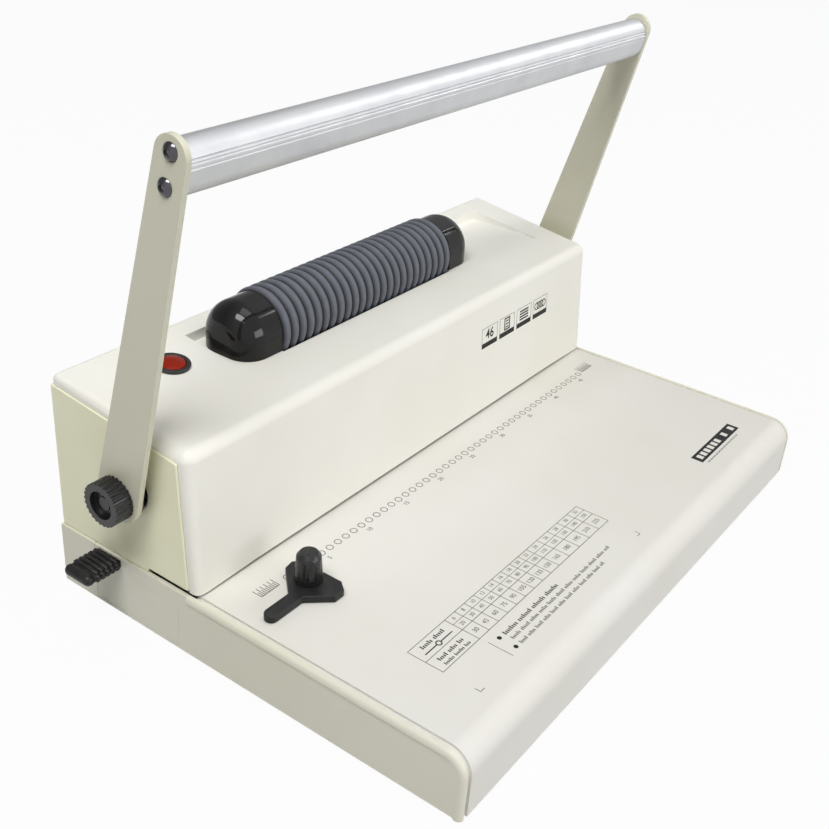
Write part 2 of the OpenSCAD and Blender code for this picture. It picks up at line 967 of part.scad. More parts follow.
// Outline around both pulleys, grown by a distance
module belt_outline(grow) {
    hull() {
        translate([roller_y, roller_z])
            circle(pulley_r + grow, $fn = HULL_FN);
        translate([motor_y, motor_z])
            circle(motor_pulley_r + grow, $fn = HULL_FN);
    }
}

module drive_belt() {
    color(black)
        along_x(pulley_x + (pulley_w - belt_w) / 2, belt_w)
            difference() {
                belt_outline(free_gap + belt_t);
                belt_outline(free_gap);
            }
}

// Half outline of a domed end cover, radius across and length up
module dome_profile(r, length, round) {
    square([r, length - round]);
    square([r - round, length]);
    translate([r - round, length - round])
        intersection() {
            circle(round);
            square(round);
        }
}

// Solid of a domed end cover: round above the roller's axis, with straight walls below it
module dome_solid(start, r, length, round) {
    translate([sleeve_right + dome_gap + start, roller_y, roller_z]) {
        rotate([0, 90, 0])
            rotate_extrude()
                dome_profile(r, length, round);
        for (k = [0, 1])
            mirror([0, k, 0])
                translate([0, 0, -dome_r])
                    linear_extrude(dome_r)
                        mirror([1, 0])
                            rotate(90)
                                dome_profile(r, length, round);
    }
}

// Domed end cover on the right of the sleeve, standing on the recess's floor
module dome() {
    difference() {
        dome_solid(0, dome_r, dome_len, dome_round);
        dome_solid(dome_wall, dome_r - dome_t, dome_len - dome_wall - dome_t, dome_round - dome_t);
        bar_x(sleeve_right, dome_len / 2, roller_y, roller_z, bearing_r + run_gap);
        translate([0, 0, -base_w + recess_z])
            cube([base_w, base_d, base_w]);
    }
}

// What sits on the roller's right end, mirrored about the roller's middle
module at_left_of_roller() {
    translate([2 * roller_x, 0, 0])
        mirror([1, 0, 0])
            children();
}

module left_roller_dome() {
    color(black)
        at_left_of_roller()
            dome();
}

module right_roller_dome() {
    color(black)
        dome();
}

module roller_bearing() {
    difference() {
        bar_x(sleeve_right + dome_gap, dome_wall, roller_y, roller_z, bearing_r);
        bar_x(0, base_w, roller_y, roller_z, spindle_r + run_gap);
    }
}

module roller_bearings() {
    color(steel) {
        roller_bearing();
        at_left_of_roller()
            roller_bearing();
    }
}

module button_ring() {
    color(black)
        at_button()
            difference() {
                union() {
                    cylinder(r = ring_r, h = ring_h);
                    translate([0, 0, -barrel_h])
                        cylinder(r = barrel_r, h = barrel_h);
                }
                translate([0, 0, -barrel_h - over])
                    cylinder(r = button_r + pin_gap, h = 2 * barrel_h);
            }
}

module button_switch() {
    body_w = 15;
    body_h = 13;
    color(black)
        at_button()
            translate([-body_w / 2, -body_w / 2, -barrel_h - body_h])
                cube([body_w, body_w, body_h]);
}

module power_inlet() {
    rim = inlet_h / 6;
    pin_l = inlet_d / 2;
    pin_w = inlet_w / 15;
    pin_h = inlet_h / 5;
    color(black) {
        difference() {
            translate([inlet_x, base_d - inlet_d, inlet_z])
                cube([inlet_w, inlet_d, inlet_h]);
            translate([inlet_x + rim, base_d - inlet_d + rim, inlet_z + rim])
                cube([inlet_w - 2 * rim, inlet_d, inlet_h - 2 * rim]);
        }
        for (k = [-1, 0, 1])
            translate([inlet_x + inlet_w / 2 + (3 * k - 0.5) * pin_w, base_d - inlet_d + rim,
                inlet_z + (inlet_h - pin_h) / 2])
                cube([pin_w, pin_l, pin_h]);
    }
}

module power_board() {
    board_y = tray_back + tray_gap + rail_w + tray_gap;
    board_d = base_d - sheet_t - over - board_y;
    board_z = floor_z + board_rise;
    board_t = 1.6;
    post_r = 3;
    can_r = board_d / 4;
    block = board_d - 2 * over;
    color("darkgreen")
        translate([board_inset - frame_in, board_y, 0]) {
            translate([0, 0, board_z])
                cube([board_w, board_d, board_t]);
            for (x = [post_r + over, board_w - post_r - over])
                translate([x, board_d / 2, floor_z])
                    cylinder(r = post_r, h = board_rise);
            translate([board_w / 4, over, board_z + board_t])
                cube([block, block, block]);
            for (k = [0.6, 0.75])
                translate([k * board_w, board_d / 2, board_z + board_t])
                    cylinder(r = can_r, h = 0.9 * block);
        }
}

module tray_rails() {
    rail_h = 9;
    color(steel)
        for (y = [tray_y - tray_gap - rail_w, tray_back + tray_gap])
            translate([tray_gap - frame_in, y, floor_z])
                cube([frame_in + tray_right, rail_w, rail_h]);
}

// Outline of an arm: two round ends joined by their tangents
module arm_outline() {
    b = asin((arm_low_r - arm_top_r) / arm_span);
    circle(arm_low_r);
    translate([0, arm_span])
        circle(arm_top_r);
    polygon([
        [arm_low_r * cos(b), arm_low_r * sin(b)],
        [arm_top_r * cos(b), arm_span + arm_top_r * sin(b)],
        [-arm_top_r * cos(b), arm_span + arm_top_r * sin(b)],
        [-arm_low_r * cos(b), arm_low_r * sin(b)],
    ]);
}

module bolt_places() {
    for (k = [-1, 1])
        translate([0, arm_len + k * bolt_pitch / 2])
            children();
}

// Arm on the right
module arm() {
    color(cream)
        difference() {
            along_arm(arm_x, arm_t)
                arm_outline();
            bar_x(0, base_w, pivot_y, pivot_z, shaft_r + run_gap);
            along_arm(arm_x - over, arm_t + 2 * over)
                bolt_places()
                    circle(bolt_r + screw_gap);
        }
}

module left_arm() {
    mirror([1, 0, 0])
        arm();
}

module right_arm() {
    arm();
}

bolt_l = 15;

// Section of the grip: round ends, flat sides and fine grooves towards the user
module grip_section() {
    groove = 0.7;
    groove_angles = [64, 75, 90];
    half = (grip_l - grip_t) / 2;
    difference() {
        union() {
            translate([-grip_t / 2, -half])
                square([grip_t, 2 * half]);
            for (v = [-half, half])
                translate([0, v])
                    circle(grip_t / 2);
        }
        for (a = groove_angles)
            translate([0, half])
                rotate(a)
                    translate([0, grip_t / 2])
                        rotate(45)
                            square(groove, center = true);
    }
}

module handle_grip() {
    color(silver)
        difference() {
            along_arm(-arm_x, 2 * arm_x)
                translate([0, arm_len])
                    grip_section();
            both_sides()
                along_arm(arm_x - bolt_l - over, bolt_l + 2 * over)
                    bolt_places()
                        circle(bolt_r + screw_gap);
        }
}

// Domed head and shank of one grip bolt, pointing to the left from the arm's outer face
module grip_bolt() {
    ball_r = (bolt_head_r * bolt_head_r + bolt_head_h * bolt_head_h) / (2 * bolt_head_h);
    rotate([0, 90, 0]) {
        translate([0, 0, -bolt_l])
            cylinder(r = bolt_r, h = bolt_l);
        difference() {
            intersection() {
                cylinder(r = bolt_head_r, h = bolt_head_h);
                translate([0, 0, bolt_head_h - ball_r])
                    sphere(ball_r);
            }
            translate([0, 0, bolt_head_h / 2])
                cylinder(r = 1.7, h = bolt_head_h, $fn = 6);
        }
    }
}

module grip_bolts() {
    color(black)
        both_sides()
            translate([arm_out, pivot_y, pivot_z])
                rotate([handle_lean, 0, 0])
                    for (k = [-1, 1])
                        translate([0, 0, arm_len + k * bolt_pitch / 2])
                            grip_bolt();
}

module drive_shaft() {
    color(steel) {
        bar_x(-arm_out, 2 * arm_out, pivot_y, pivot_z, shaft_r);
        both_sides()
            bar_x(arm_out, knob_stud_l, pivot_y, pivot_z, knob_stud_r);
    }
}

// Flank angles and outline of a pinion whose gap faces the rack
module pinion_outline() {
    base_r = pitch_r * cos(pressure);
    tip_r = pitch_r + gear_module;
    root_r = pitch_r - dedendum;
    play = backlash / 4 / pitch_r * 180 / PI;
    half = 90 / gear_teeth - play + involute(pitch_r, base_r);
    flank = [for (i = [0 : 5]) base_r + (tip_r - base_r) * i / 5];
    polygon([
        for (t = [0 : gear_teeth - 1])
            let (mid = 180 + (t + 0.5) * 360 / gear_teeth)
                each concat(
                    [root_r * [cos(mid - half), sin(mid - half)]],
                    [for (r = flank)
                        let (a = mid - half + involute(r, base_r)) r * [cos(a), sin(a)]],
                    [for (i = [5 : -1 : 0])
                        let (a = mid + half - involute(flank[i], base_r)) flank[i] * [cos(a), sin(a)]],
                    [root_r * [cos(mid + half), sin(mid + half)]]
                )
    ]);
}

module drive_pinions() {
    color("goldenrod")
        for (sx = [-1, 1])
            along_x(sx * gear_x - gear_w / 2, gear_w)
                translate([pivot_y, pivot_z])
                    difference() {
                        pinion_outline();
                        circle(shaft_r + run_gap);
                    }
}

// Rack behind the punch bar, with a tooth in the pinion's gap
module rack_outline() {
    root_y = rack_y - dedendum;
    root_half = rack_pitch / 4 - backlash / 4 + dedendum * tan(pressure);
    tip_half = rack_pitch / 4 - backlash / 4 - gear_module * tan(pressure);
    low_z = pivot_z - (rack_low + 0.5) * rack_pitch;
    high_z = pivot_z + (rack_high + 0.5) * rack_pitch;
    translate([bar_back, low_z])
        square([root_y - bar_back, high_z - low_z]);
    for (i = [-rack_low : rack_high])
        translate([root_y, pivot_z + i * rack_pitch])
            polygon([
                [-0.2, -root_half],
                [0, -root_half],
                [dedendum + gear_module, -tip_half],
                [dedendum + gear_module, tip_half],
                [0, root_half],
                [-0.2, root_half],
            ]);
}

module drive_racks() {
    color(steel)
        for (sx = [-1, 1])
            along_x(sx * gear_x - gear_w / 2, gear_w)
                rack_outline();
}

// Stepped spacer between the right arm and its panel, with a wide washer at the arm
module arm_spacer() {
    difference() {
        union() {
            bar_x(panel_x + free_gap, arm_gap - free_gap, pivot_y, pivot_z, shaft_r + 1.5);
            bar_x(arm_x - washer_t, washer_t, pivot_y, pivot_z, washer_r);
        }
        bar_x(0, base_w, pivot_y, pivot_z, shaft_r + run_gap);
    }
}

module arm_spacers() {
    color(steel)
        both_sides()
            arm_spacer();
}

// Fluted clamp knob on the right, with a dished outer face
module clamp_knob() {
    rim = 4;
    dish = 3;
    hub_r = 3.4;
    hub_h = 0.8;
    flute_r = 0.85;
    color(black)
        translate([arm_out + free_gap, pivot_y, pivot_z])
            rotate([0, 90, 0])
                difference() {
                    linear_extrude(knob_t)
                        difference() {
                            circle(knob_r);
                            for (i = [0 : knob_flutes - 1])
                                rotate(i * 360 / knob_flutes)
                                    translate([knob_r + flute_r / 4, 0])
                                        circle(flute_r, $fn = 16);
                        }
                    translate([0, 0, knob_t - dish])
                        difference() {
                            cylinder(r = knob_r - rim, h = knob_t);
                            translate([0, 0, -over])
                                cylinder(r = hub_r, h = over + hub_h);
                        }
                    translate([0, 0, -over])
                        cylinder(r = knob_stud_r + pin_gap, h = knob_stud_l + over + free_gap);
                }
}

module left_clamp_knob() {
    mirror([1, 0, 0])
        clamp_knob();
}

module right_clamp_knob() {
    clamp_knob();
}

module punch_bar() {
    color(steel)
        difference() {
            translate([-bar_end, punch_y - bar_d / 2, bar_z])
                cube([2 * bar_end, bar_d, bar_h]);
            both_sides()
                translate([rod_x, punch_y, bar_z - over])
                    cylinder(r = rod_r + 1 + screw_gap, h = bar_h + 2 * over);
        }
}

module rod_bushes() {
    color("goldenrod")
        both_sides()
            translate([rod_x, punch_y, bar_z])
                difference() {
                    cylinder(r = rod_r + 1, h = bar_h);
                    translate([0, 0, -over])
                        cylinder(r = rod_r + run_gap, h = bar_h + 2 * over);
                }
}

module pin_retainer() {
    half = pin_half + pin_r + 0.4;
    color(steel)
        difference() {
            translate([-half, punch_y - bar_d / 2 + over, bar_z - retainer_t])
                cube([2 * half, bar_d - 2 * over, retainer_t]);
            pin_places()
                translate([0, 0, bar_z - retainer_t - over])
                    cylinder(r = pin_r + screw_gap, h = retainer_t + 2 * over, $fn = 24);
        }
}

module punch_pins() {
    tip_z = table_z + tip_rise;
    color(silver)
        pin_places()
            translate([0, 0, tip_z])
                cylinder(r = pin_r, h = bar_z - tip_z, $fn = 24);
}

module roller_core() {
    color(steel) {
        bar_x(sleeve_left, sleeve_len, roller_y, roller_z, drum_r);
        bar_x(sleeve_left - dome_gap - dome_wall, dome_gap + dome_wall, roller_y, roller_z, spindle_r);
        bar_x(sleeve_right, pulley_x + pulley_w - sleeve_right, roller_y, roller_z, spindle_r);
    }
}

// Ribbed sleeve: round ribs side by side on a tube
module roller_sleeve() {
    step = sleeve_len / rib_count;
    rib_r = step * 0.33;
    inner_r = drum_r + run_gap;
    color(rubber)
        translate([sleeve_left, roller_y, roller_z])
            rotate([0, 90, 0])
                rotate_extrude()
                    union() {
                        translate([inner_r, 0])
                            square([sleeve_r - rib_h - inner_r, sleeve_len]);
                        for (i = [0 : rib_count - 1])
                            translate([sleeve_r - rib_r, (i + 0.5) * step])
                                circle(rib_r, $fn = 16);
                    }
}

module roller_pulley() {
    color(black)
        difference() {
            bar_x(pulley_x, pulley_w, roller_y, roller_z, pulley_r);
            bar_x(0, base_w, roller_y, roller_z, spindle_r + run_gap);
        }
}

// Shaft of the motor with the rotor inside the motor's can
module motor_shaft() {
    rotor_gap = motor_wall + over;
    color(silver) {
        bar_x(motor_x - motor_len + rotor_gap, motor_len - 2 * rotor_gap, motor_y, motor_z,
            motor_r - rotor_gap);
        bar_x(motor_x - motor_len / 2, motor_len / 2 + pulley_x + pulley_w + free_gap - motor_x, motor_y,
            motor_z, motor_shaft_r);
    }
}

module motor_pulley() {
    color(black)
        difference() {
            bar_x(pulley_x, pulley_w, motor_y, motor_z, motor_pulley_r);
            bar_x(0, base_w, motor_y, motor_z, motor_shaft_r + run_gap);
        }
}

module button_cap() {
    dome_h = 1.3;
    edge_h = ring_h;
    ball_r = (button_r * button_r + dome_h * dome_h) / (2 * dome_h);
    stem = barrel_h - button_travel - over;
    color([0.70, 0.12, 0.08])
        at_button() {
            translate([0, 0, -stem])
                cylinder(r = button_r, h = stem + edge_h);
            intersection() {
                translate([0, 0, edge_h])
                    cylinder(r = button_r, h = dome_h);
                translate([0, 0, edge_h + dome_h - ball_r])
                    sphere(ball_r);
            }
        }
}

module chip_tray() {
    color(cream) {
        difference() {
            translate([tray_x + tray_door_t, tray_y, tray_z])
                cube([tray_right - tray_x - tray_door_t, tray_d, tray_h]);
            translate([tray_x + tray_door_t + tray_t, tray_y + tray_t, tray_z + tray_t])
                cube([tray_right - tray_x - tray_door_t - 2 * tray_t, tray_d - 2 * tray_t, tray_h]);
        }
        along_x(tray_x, tray_door_t)
            door_outline(0);
    }
}

// Pull grip: a flat bar with a round roll at its tip and half-round ribs across the pull
module tray_grip() {
    roll_r = pull_t / 2;
    rib_r = 1.2;
    body_t = pull_t - 2 * rib_r;
    body_w = pull_w - 2 * rib_r;
    ribs_l = pull_len - 2 * roll_r;
    color(black)
        translate([-base_w / 2 - pull_len, pull_y, pull_z]) {
            translate([roll_r, rib_r, rib_r])
                cube([tray_x + base_w / 2 + pull_len - roll_r, body_w, body_t]);
            translate([roll_r, roll_r, roll_r])
                rotate([-90, 0, 0])
                    cylinder(r = roll_r, h = pull_w - 2 * roll_r);
            for (y = [roll_r, pull_w - roll_r])
                translate([roll_r, y, roll_r])
                    sphere(roll_r);
            for (i = [0 : pull_ribs - 1])
                translate([2 * roll_r + (i + 0.5) * ribs_l / pull_ribs, 0, rib_r]) {
                    for (z = [0, body_t])
                        translate([0, rib_r, z])
                            rotate([-90, 0, 0])
                                cylinder(r = rib_r, h = body_w, $fn = 24);
                    for (y = [rib_r, pull_w - rib_r])
                        translate([0, y, 0])
                            cylinder(r = rib_r, h = body_t, $fn = 24);
                }
        }
}

// Plan of the edge guide about its stud: flat stop face on the right, finger with a round tip to the left
module guide_outline() {
    stop_x = 9;
    finger_r = 3.4;
    finger_x = 29.5;
    finger_y = -3.3;
    polygon([
        [stop_x, -13],
        [5, -17.8],
        [-1.5, -17.8],
        [-12, finger_y - finger_r],
        for (a = [270 : -15 : 90])
            [finger_r * cos(a) - finger_x, finger_r * sin(a) + finger_y],
        [-14, finger_y + finger_r],
        [-0.5, 14],
        [5, 15],
        [stop_x, 12],
    ]);
}

module edge_guide() {
    color(black)
        difference() {
            translate([guide_x, guide_y, guide_z])
                linear_extrude(guide_t)
                    guide_outline();
            translate([guide_x, guide_y, 0])
                cylinder(r = stud_r + screw_gap, h = 2 * guide_top_z);
        }
}

// Stud of the edge guide with its clamp plate under the table
module guide_clamp() {
    plate_w = 18;
    plate_d = 12;
    clamp_t = 2.5;
    under = table_z - sheet_t - free_gap;
    color(steel)
        translate([guide_x, guide_y, 0]) {
            translate([0, 0, under])
                cylinder(r = stud_r, h = guide_top_z + guide_knob_h / 2 - under);
            translate([-plate_w / 2, -plate_d / 2, under - clamp_t])
                cube([plate_w, plate_d, clamp_t]);
        }
}

// Fluted knob of the edge guide, narrower at the top
module guide_knob() {
    flutes = 10;
    top_r = guide_knob_r - 1;
    foot_t = 3;
    cap_h = 2;
    color(black)
        translate([guide_x, guide_y, guide_top_z + pin_gap])
            difference() {
                union() {
                    cylinder(r = guide_knob_r, h = foot_t);
                    translate([0, 0, foot_t])
                        cylinder(r1 = guide_knob_r - 0.2, r2 = top_r, h = guide_knob_h - foot_t - cap_h);
                    translate([0, 0, guide_knob_h - cap_h])
                        cylinder(r1 = top_r, r2 = top_r - 1.6, h = cap_h);
                }
                for (i = [0 : flutes - 1])
                    rotate(i * 360 / flutes)
                        translate([guide_knob_r + 0.2, 0, foot_t])
                            cylinder(r = 1, h = guide_knob_h);
                translate([0, 0, -over])
                    cylinder(r = stud_r + pin_gap, h = guide_knob_h / 2 + over + free_gap);
            }
}

placed() base_plate();
placed() table_top();
placed() left_end_cap();
placed() right_end_cap();
placed() rubber_feet();
placed() top_cover();
placed() left_end_panel();
placed() right_end_panel();
placed() rear_cover();
placed() left_side_frame();
placed() right_side_frame();
placed() die_plate();
placed() paper_stop();
placed() guide_plate();
placed() die_screws();
placed() shaft_bushes();
placed() guide_rods();
placed() cross_bar();
placed() return_springs();
placed() inserter_motor();
placed() motor_bracket();
placed() drive_belt();
placed() left_roller_dome();
placed() right_roller_dome();
placed() roller_bearings();
placed() button_ring();
placed() button_switch();
placed() power_inlet();
placed() power_board();
placed() rear_screws();
placed() base_screws();
placed() tray_rails();
placed() left_arm();
placed() right_arm();
placed() handle_grip();
placed() grip_bolts();
placed() drive_shaft();
placed() drive_pinions();
placed() arm_spacers();
placed() left_clamp_knob();
placed() right_clamp_knob();
placed() punch_bar();
placed() pin_retainer();
placed() punch_pins();
placed() drive_racks();
placed() rod_bushes();
placed() roller_core();
placed() roller_sleeve();
placed() roller_pulley();
placed() motor_shaft();
placed() motor_pulley();
placed() button_cap();
placed() chip_tray();
placed() tray_grip();
placed() edge_guide();
placed() guide_clamp();
placed() guide_knob();
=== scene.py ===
# %% [markdown]
# # A coil punching and binding machine
# This lesson dresses a desk machine that punches a row of holes and winds plastic coils into them.
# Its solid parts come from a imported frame, at their real places and sizes, so we never move them.
# We add what the solids don't show: finishes, soft edges, wound springs, printed marks, light and a camera.

# %% Load the frame
import json
import math

import bmesh
import bpy
from mathutils import Matrix, Vector


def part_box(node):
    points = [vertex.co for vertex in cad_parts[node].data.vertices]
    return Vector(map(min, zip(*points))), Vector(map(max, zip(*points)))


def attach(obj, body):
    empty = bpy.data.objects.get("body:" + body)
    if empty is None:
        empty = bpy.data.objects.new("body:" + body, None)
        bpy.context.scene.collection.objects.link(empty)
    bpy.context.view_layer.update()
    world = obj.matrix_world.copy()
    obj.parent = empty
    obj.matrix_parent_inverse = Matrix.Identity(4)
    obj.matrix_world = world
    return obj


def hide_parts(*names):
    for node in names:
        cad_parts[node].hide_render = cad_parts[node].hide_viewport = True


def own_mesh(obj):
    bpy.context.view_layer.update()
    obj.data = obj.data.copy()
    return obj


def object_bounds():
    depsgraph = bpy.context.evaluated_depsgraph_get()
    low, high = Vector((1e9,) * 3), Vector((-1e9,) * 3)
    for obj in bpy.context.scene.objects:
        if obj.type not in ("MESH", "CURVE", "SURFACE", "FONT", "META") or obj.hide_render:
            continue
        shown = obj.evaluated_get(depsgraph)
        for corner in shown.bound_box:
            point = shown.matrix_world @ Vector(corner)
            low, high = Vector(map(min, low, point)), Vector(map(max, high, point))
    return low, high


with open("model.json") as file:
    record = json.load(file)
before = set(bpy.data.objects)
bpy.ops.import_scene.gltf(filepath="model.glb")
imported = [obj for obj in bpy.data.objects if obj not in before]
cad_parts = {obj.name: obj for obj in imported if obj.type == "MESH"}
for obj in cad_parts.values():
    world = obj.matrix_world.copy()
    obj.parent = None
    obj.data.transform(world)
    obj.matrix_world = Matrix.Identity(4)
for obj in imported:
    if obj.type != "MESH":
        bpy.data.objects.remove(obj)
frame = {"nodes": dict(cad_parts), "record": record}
cad_low, cad_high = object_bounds()
nodes = frame["nodes"]
MM = 0.001
print(len(nodes), "solid parts, box", [round(v, 4) for v in (cad_high - cad_low)])

# %% [markdown]
# ## One place to measure from
# The table is the face that a user sees first, and its front edge is easy to find in a photograph.
# So the camera and the printed marks are placed from the middle of that edge, in millimetres:
# x to the user's right, y to the back and z up from the floor. A piece that stands for a solid is placed
# from the solid's own box instead.

# %% The table's own frame
X, Y, Z = Vector((1, 0, 0)), Vector((0, 1, 0)), Vector((0, 0, 1))

table_low, table_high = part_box("table_top")
MIDDLE_X = (table_low.x + table_high.x) / 2
FRONT_Y = table_low.y
TABLE_Z = table_high.z


def at(x, y, z):
    """A point given in millimetres from the middle of the table's front edge, in metres."""
    return Vector((MIDDLE_X + x * MM, FRONT_Y + y * MM, z * MM))


def put(name, data):
    """A new object with this data, in the scene."""
    made = bpy.data.objects.new(name, data)
    bpy.context.scene.collection.objects.link(made)
    return made


print("table top is", round(TABLE_Z / MM, 2), "mm above the floor")

# %% [markdown]
# ## Camera
# The photograph was taken from the left, in front and above, with the camera turned a little about its view.
# Its place came from fitting the corners of the base and the row of printed holes. A constraint could aim
# the camera, but it would lose that small turn, so we give Blender a whole matrix: its columns are the
# camera's right, up and back directions.

# %% The camera
EYE = at(-474.55, -157.21, 381.25)
AZIMUTH_DEG, ELEVATION_DEG = -56.10, 29.66
ROLL = math.radians(4.61)
PICTURE_PX = 829
FOCAL_PX = 1154.27
SENSOR_MM = 36.0
NEAREST_M = 0.01


def direction(turn_deg, height_deg):
    """The way to a thing that stands so far to the right of the front, and so far above the level."""
    turn, height = math.radians(turn_deg), math.radians(height_deg)
    return Vector((math.sin(turn) * math.cos(height), -math.cos(turn) * math.cos(height), math.sin(height)))


back = direction(AZIMUTH_DEG, ELEVATION_DEG)
level = Z.cross(back).normalized()
upright = back.cross(level)
right = math.cos(ROLL) * level + math.sin(ROLL) * upright
up = math.cos(ROLL) * upright - math.sin(ROLL) * level
camera = put("camera", bpy.data.cameras.new("camera"))
camera.matrix_world = Matrix.Translation(EYE) @ Matrix((right, up, back)).transposed().to_4x4()
camera.data.sensor_width = SENSOR_MM
camera.data.lens = SENSOR_MM * FOCAL_PX / PICTURE_PX
camera.data.clip_start = NEAREST_M
bpy.context.scene.camera = camera
print("lens", round(camera.data.lens, 1), "mm")

# %% [markdown]
# ## Shader sums written as Python
# A shader is a graph of nodes, and a sum of three noises soon takes a dozen links to write.
# This small class wraps one socket of the graph and overloads + - * so that a formula stays a formula.
# Any other kind of node comes from its `node` method: settings first, then what its sockets take.

# %% The wrapper


class Flow:
    """One output of a shader graph; sums with it add Math nodes to the graph."""

    def __init__(self, tree, socket=None):
        self.tree = tree
        self.socket = socket

    def node(self, kind, settings=None, inputs=None, out=0):
        """Adds a node of any type and returns one of its outputs."""
        made = self.tree.nodes.new(kind)
        for name, value in (settings or {}).items():
            setattr(made, name, value)
        for key, value in (inputs or {}).items():
            if isinstance(value, Flow):
                self.tree.links.new(value.socket, made.inputs[key])
            else:
                made.inputs[key].default_value = value
        return Flow(self.tree, made.outputs[out] if made.outputs else None)

    def sum_of(self, operation, first, second):
        """One Math node on two values that are linked or plain."""
        return self.node("ShaderNodeMath", {"operation": operation}, {0: first, 1: second})

    def __add__(self, other):
        return self.sum_of("ADD", self, other)

    def __radd__(self, other):
        return self.sum_of("ADD", other, self)

    def __sub__(self, other):
        return self.sum_of("SUBTRACT", self, other)

    def __rsub__(self, other):
        return self.sum_of("SUBTRACT", other, self)

    def __mul__(self, other):
        return self.sum_of("MULTIPLY", self, other)

    def __rmul__(self, other):
        return self.sum_of("MULTIPLY", other, self)

    def clamped(self, low, high):
        """This value, carried from low..high to 0..1 and held there."""
        return self.node("ShaderNodeMapRange", {}, {0: self, 1: low, 2: high, 3: 0.0, 4: 1.0})

    def mix(self, colour_a, colour_b):
        """From colour_a to colour_b as this value goes from 0 to 1."""
        first, second = ((*c, 1.0) if isinstance(c, tuple) else c for c in (colour_a, colour_b))
        return self.node("ShaderNodeMix", {"data_type": "RGBA"}, {0: self, 6: first, 7: second}, out=2)

    def vector(self, operation, *values, out=0):
        """Vector Math on vectors that are linked or plain."""
        return self.node("ShaderNodeVectorMath", {"operation": operation}, dict(enumerate(values)), out)

    def place(self):
        """Where a point lies in the object's own coordinates, in metres."""
        return self.node("ShaderNodeTexCoord", out="Object")

    def noise(self, per_m, detail, stretch=None):
        """Noise over the object's own coordinates, in features per metre, stretched if asked."""
        place = self.place()
        if stretch:
            place = self.vector("MULTIPLY", place, stretch)
        return self.node("ShaderNodeTexNoise", {}, {"Vector": place, "Scale": per_m, "Detail": detail})

    def bump(self, height, strength, distance):
        """A normal that follows a height, of which 1 stands for a distance in metres."""
        return self.node("ShaderNodeBump", {}, {"Height": height, "Strength": strength, "Distance": distance})


print("sums ready:", [name for name in ("add", "sub", "mul") if hasattr(Flow, f"__r{name}__")])

# %% [markdown]
# ## A fresh finish
# Every finish starts from one Principled shader. What is the same all over is set on the shader's own
# sockets, and only what changes over the surface is linked, so that the finish can be exported.

# %% Start and feed a finish
MIDDLE = 0.5


def new_finish(name, **constants):
    """A fresh material: returns it, its shader and a Flow to start sums from."""
    material = bpy.data.materials.new(name)
    material.use_nodes = True
    material.node_tree.nodes.clear()
    flow = Flow(material.node_tree)
    sockets = {key.replace("_", " "): value for key, value in constants.items()}
    surface = flow.node("ShaderNodeBsdfPrincipled", {}, sockets)
    flow.node("ShaderNodeOutputMaterial", {}, {"Surface": surface})
    return material, surface.socket.node, flow


def feed(skin, **flows):
    """Links flows to the shader's sockets; Base_Color stands for Base Color."""
    for key, flow in flows.items():
        flow.tree.links.new(flow.socket, skin.inputs[key.replace("_", " ")])


print("a noise swings about", MIDDLE)

# %% [markdown]
# ## Cream shells and cream paint
# The covers are ivory plastic with a very fine moulded grain, and the table and the arms are steel under
# ivory powder coat, which dries to a soft orange peel. Both come from noise at three sizes: a fine one for
# the grain, one for smears that change the gloss, and a broad one that lets the tint drift a little, as it
# does on a machine that has been used.
# Each piece has its own tint: the table is almost white, the end panels and arms are yellower and the end
# caps darker.
# A picture of grain would need unwrapped faces and would blur close up, and noise needs neither.

# %% Ivory finishes
WARMTH = (0.965, 0.960, 0.925)
DRIFT_PER_M, DRIFT_SPAN = 14.0, (0.35, 0.75)
SMEAR_PER_M, SMEAR_STRETCH, SMEAR_ROUGH = 90.0, (1.0, 0.35, 1.0), 0.10
IVORY_ROUGH, IVORY_BUMP = 0.06, 0.25
COAT_ROUGH, IVORY_IOR = 0.3, 1.47
MOULD_GRAIN = (1500.0, 0.00004)
ORANGE_PEEL = (700.0, 0.00006)


def ivory(name, shade, texture, rough, coat=0.0):
    """Pale plastic or paint. Its texture is the grains per metre and their depth in metres."""
    grain_per_m, grain_depth = texture
    material, skin, flow = new_finish(name, Coat_Weight=coat, Coat_Roughness=COAT_ROUGH, IOR=IVORY_IOR)
    drift = flow.noise(DRIFT_PER_M, detail=2.0).clamped(*DRIFT_SPAN)
    grain = flow.noise(grain_per_m, detail=2.0)
    smear = flow.noise(SMEAR_PER_M, detail=4.0, stretch=SMEAR_STRETCH)
    warm = tuple(part * share for part, share in zip(shade, WARMTH))
    feed(skin, Base_Color=drift.mix(shade, warm),
         Roughness=rough + SMEAR_ROUGH * (smear - MIDDLE) + IVORY_ROUGH * grain,
         Normal=flow.bump(grain, IVORY_BUMP, grain_depth))
    return material


cover_ivory = ivory("cover_ivory", (0.865, 0.853, 0.790), MOULD_GRAIN, rough=0.44)
panel_ivory = ivory("panel_ivory", (0.875, 0.866, 0.645), MOULD_GRAIN, rough=0.42)
cap_ivory = ivory("cap_ivory", (0.735, 0.722, 0.612), MOULD_GRAIN, rough=0.42)
table_paint = ivory("table_paint", (0.730, 0.716, 0.675), ORANGE_PEEL, rough=0.50)
arm_paint = ivory("arm_paint", (0.650, 0.636, 0.510), ORANGE_PEEL, rough=0.36, coat=0.10)
print("ivory finishes made")

# %% [markdown]
# ## Black plastics, black rubber, ink and the red button
# The guide, the tray's pull and the small parts are matt moulded plastic, the knobs and the button's ring
# have a half gloss, and the roller's end covers are polished. The feet and the belt are rubber, the button is
# glossy red and the ink dries matt. Dust makes a dark surface paler and duller in patches, so one recipe
# serves them all, and each has its own shade, grain and roughness.

# %% Dark finishes
DUST_PER_M, DUST_SPAN, DUST_ROUGH = 160.0, (0.45, 0.80), 0.08
DARK_ROUGH, DARK_BUMP = 0.12, 0.3
INK_GRAIN = (2400.0, 0.00001)


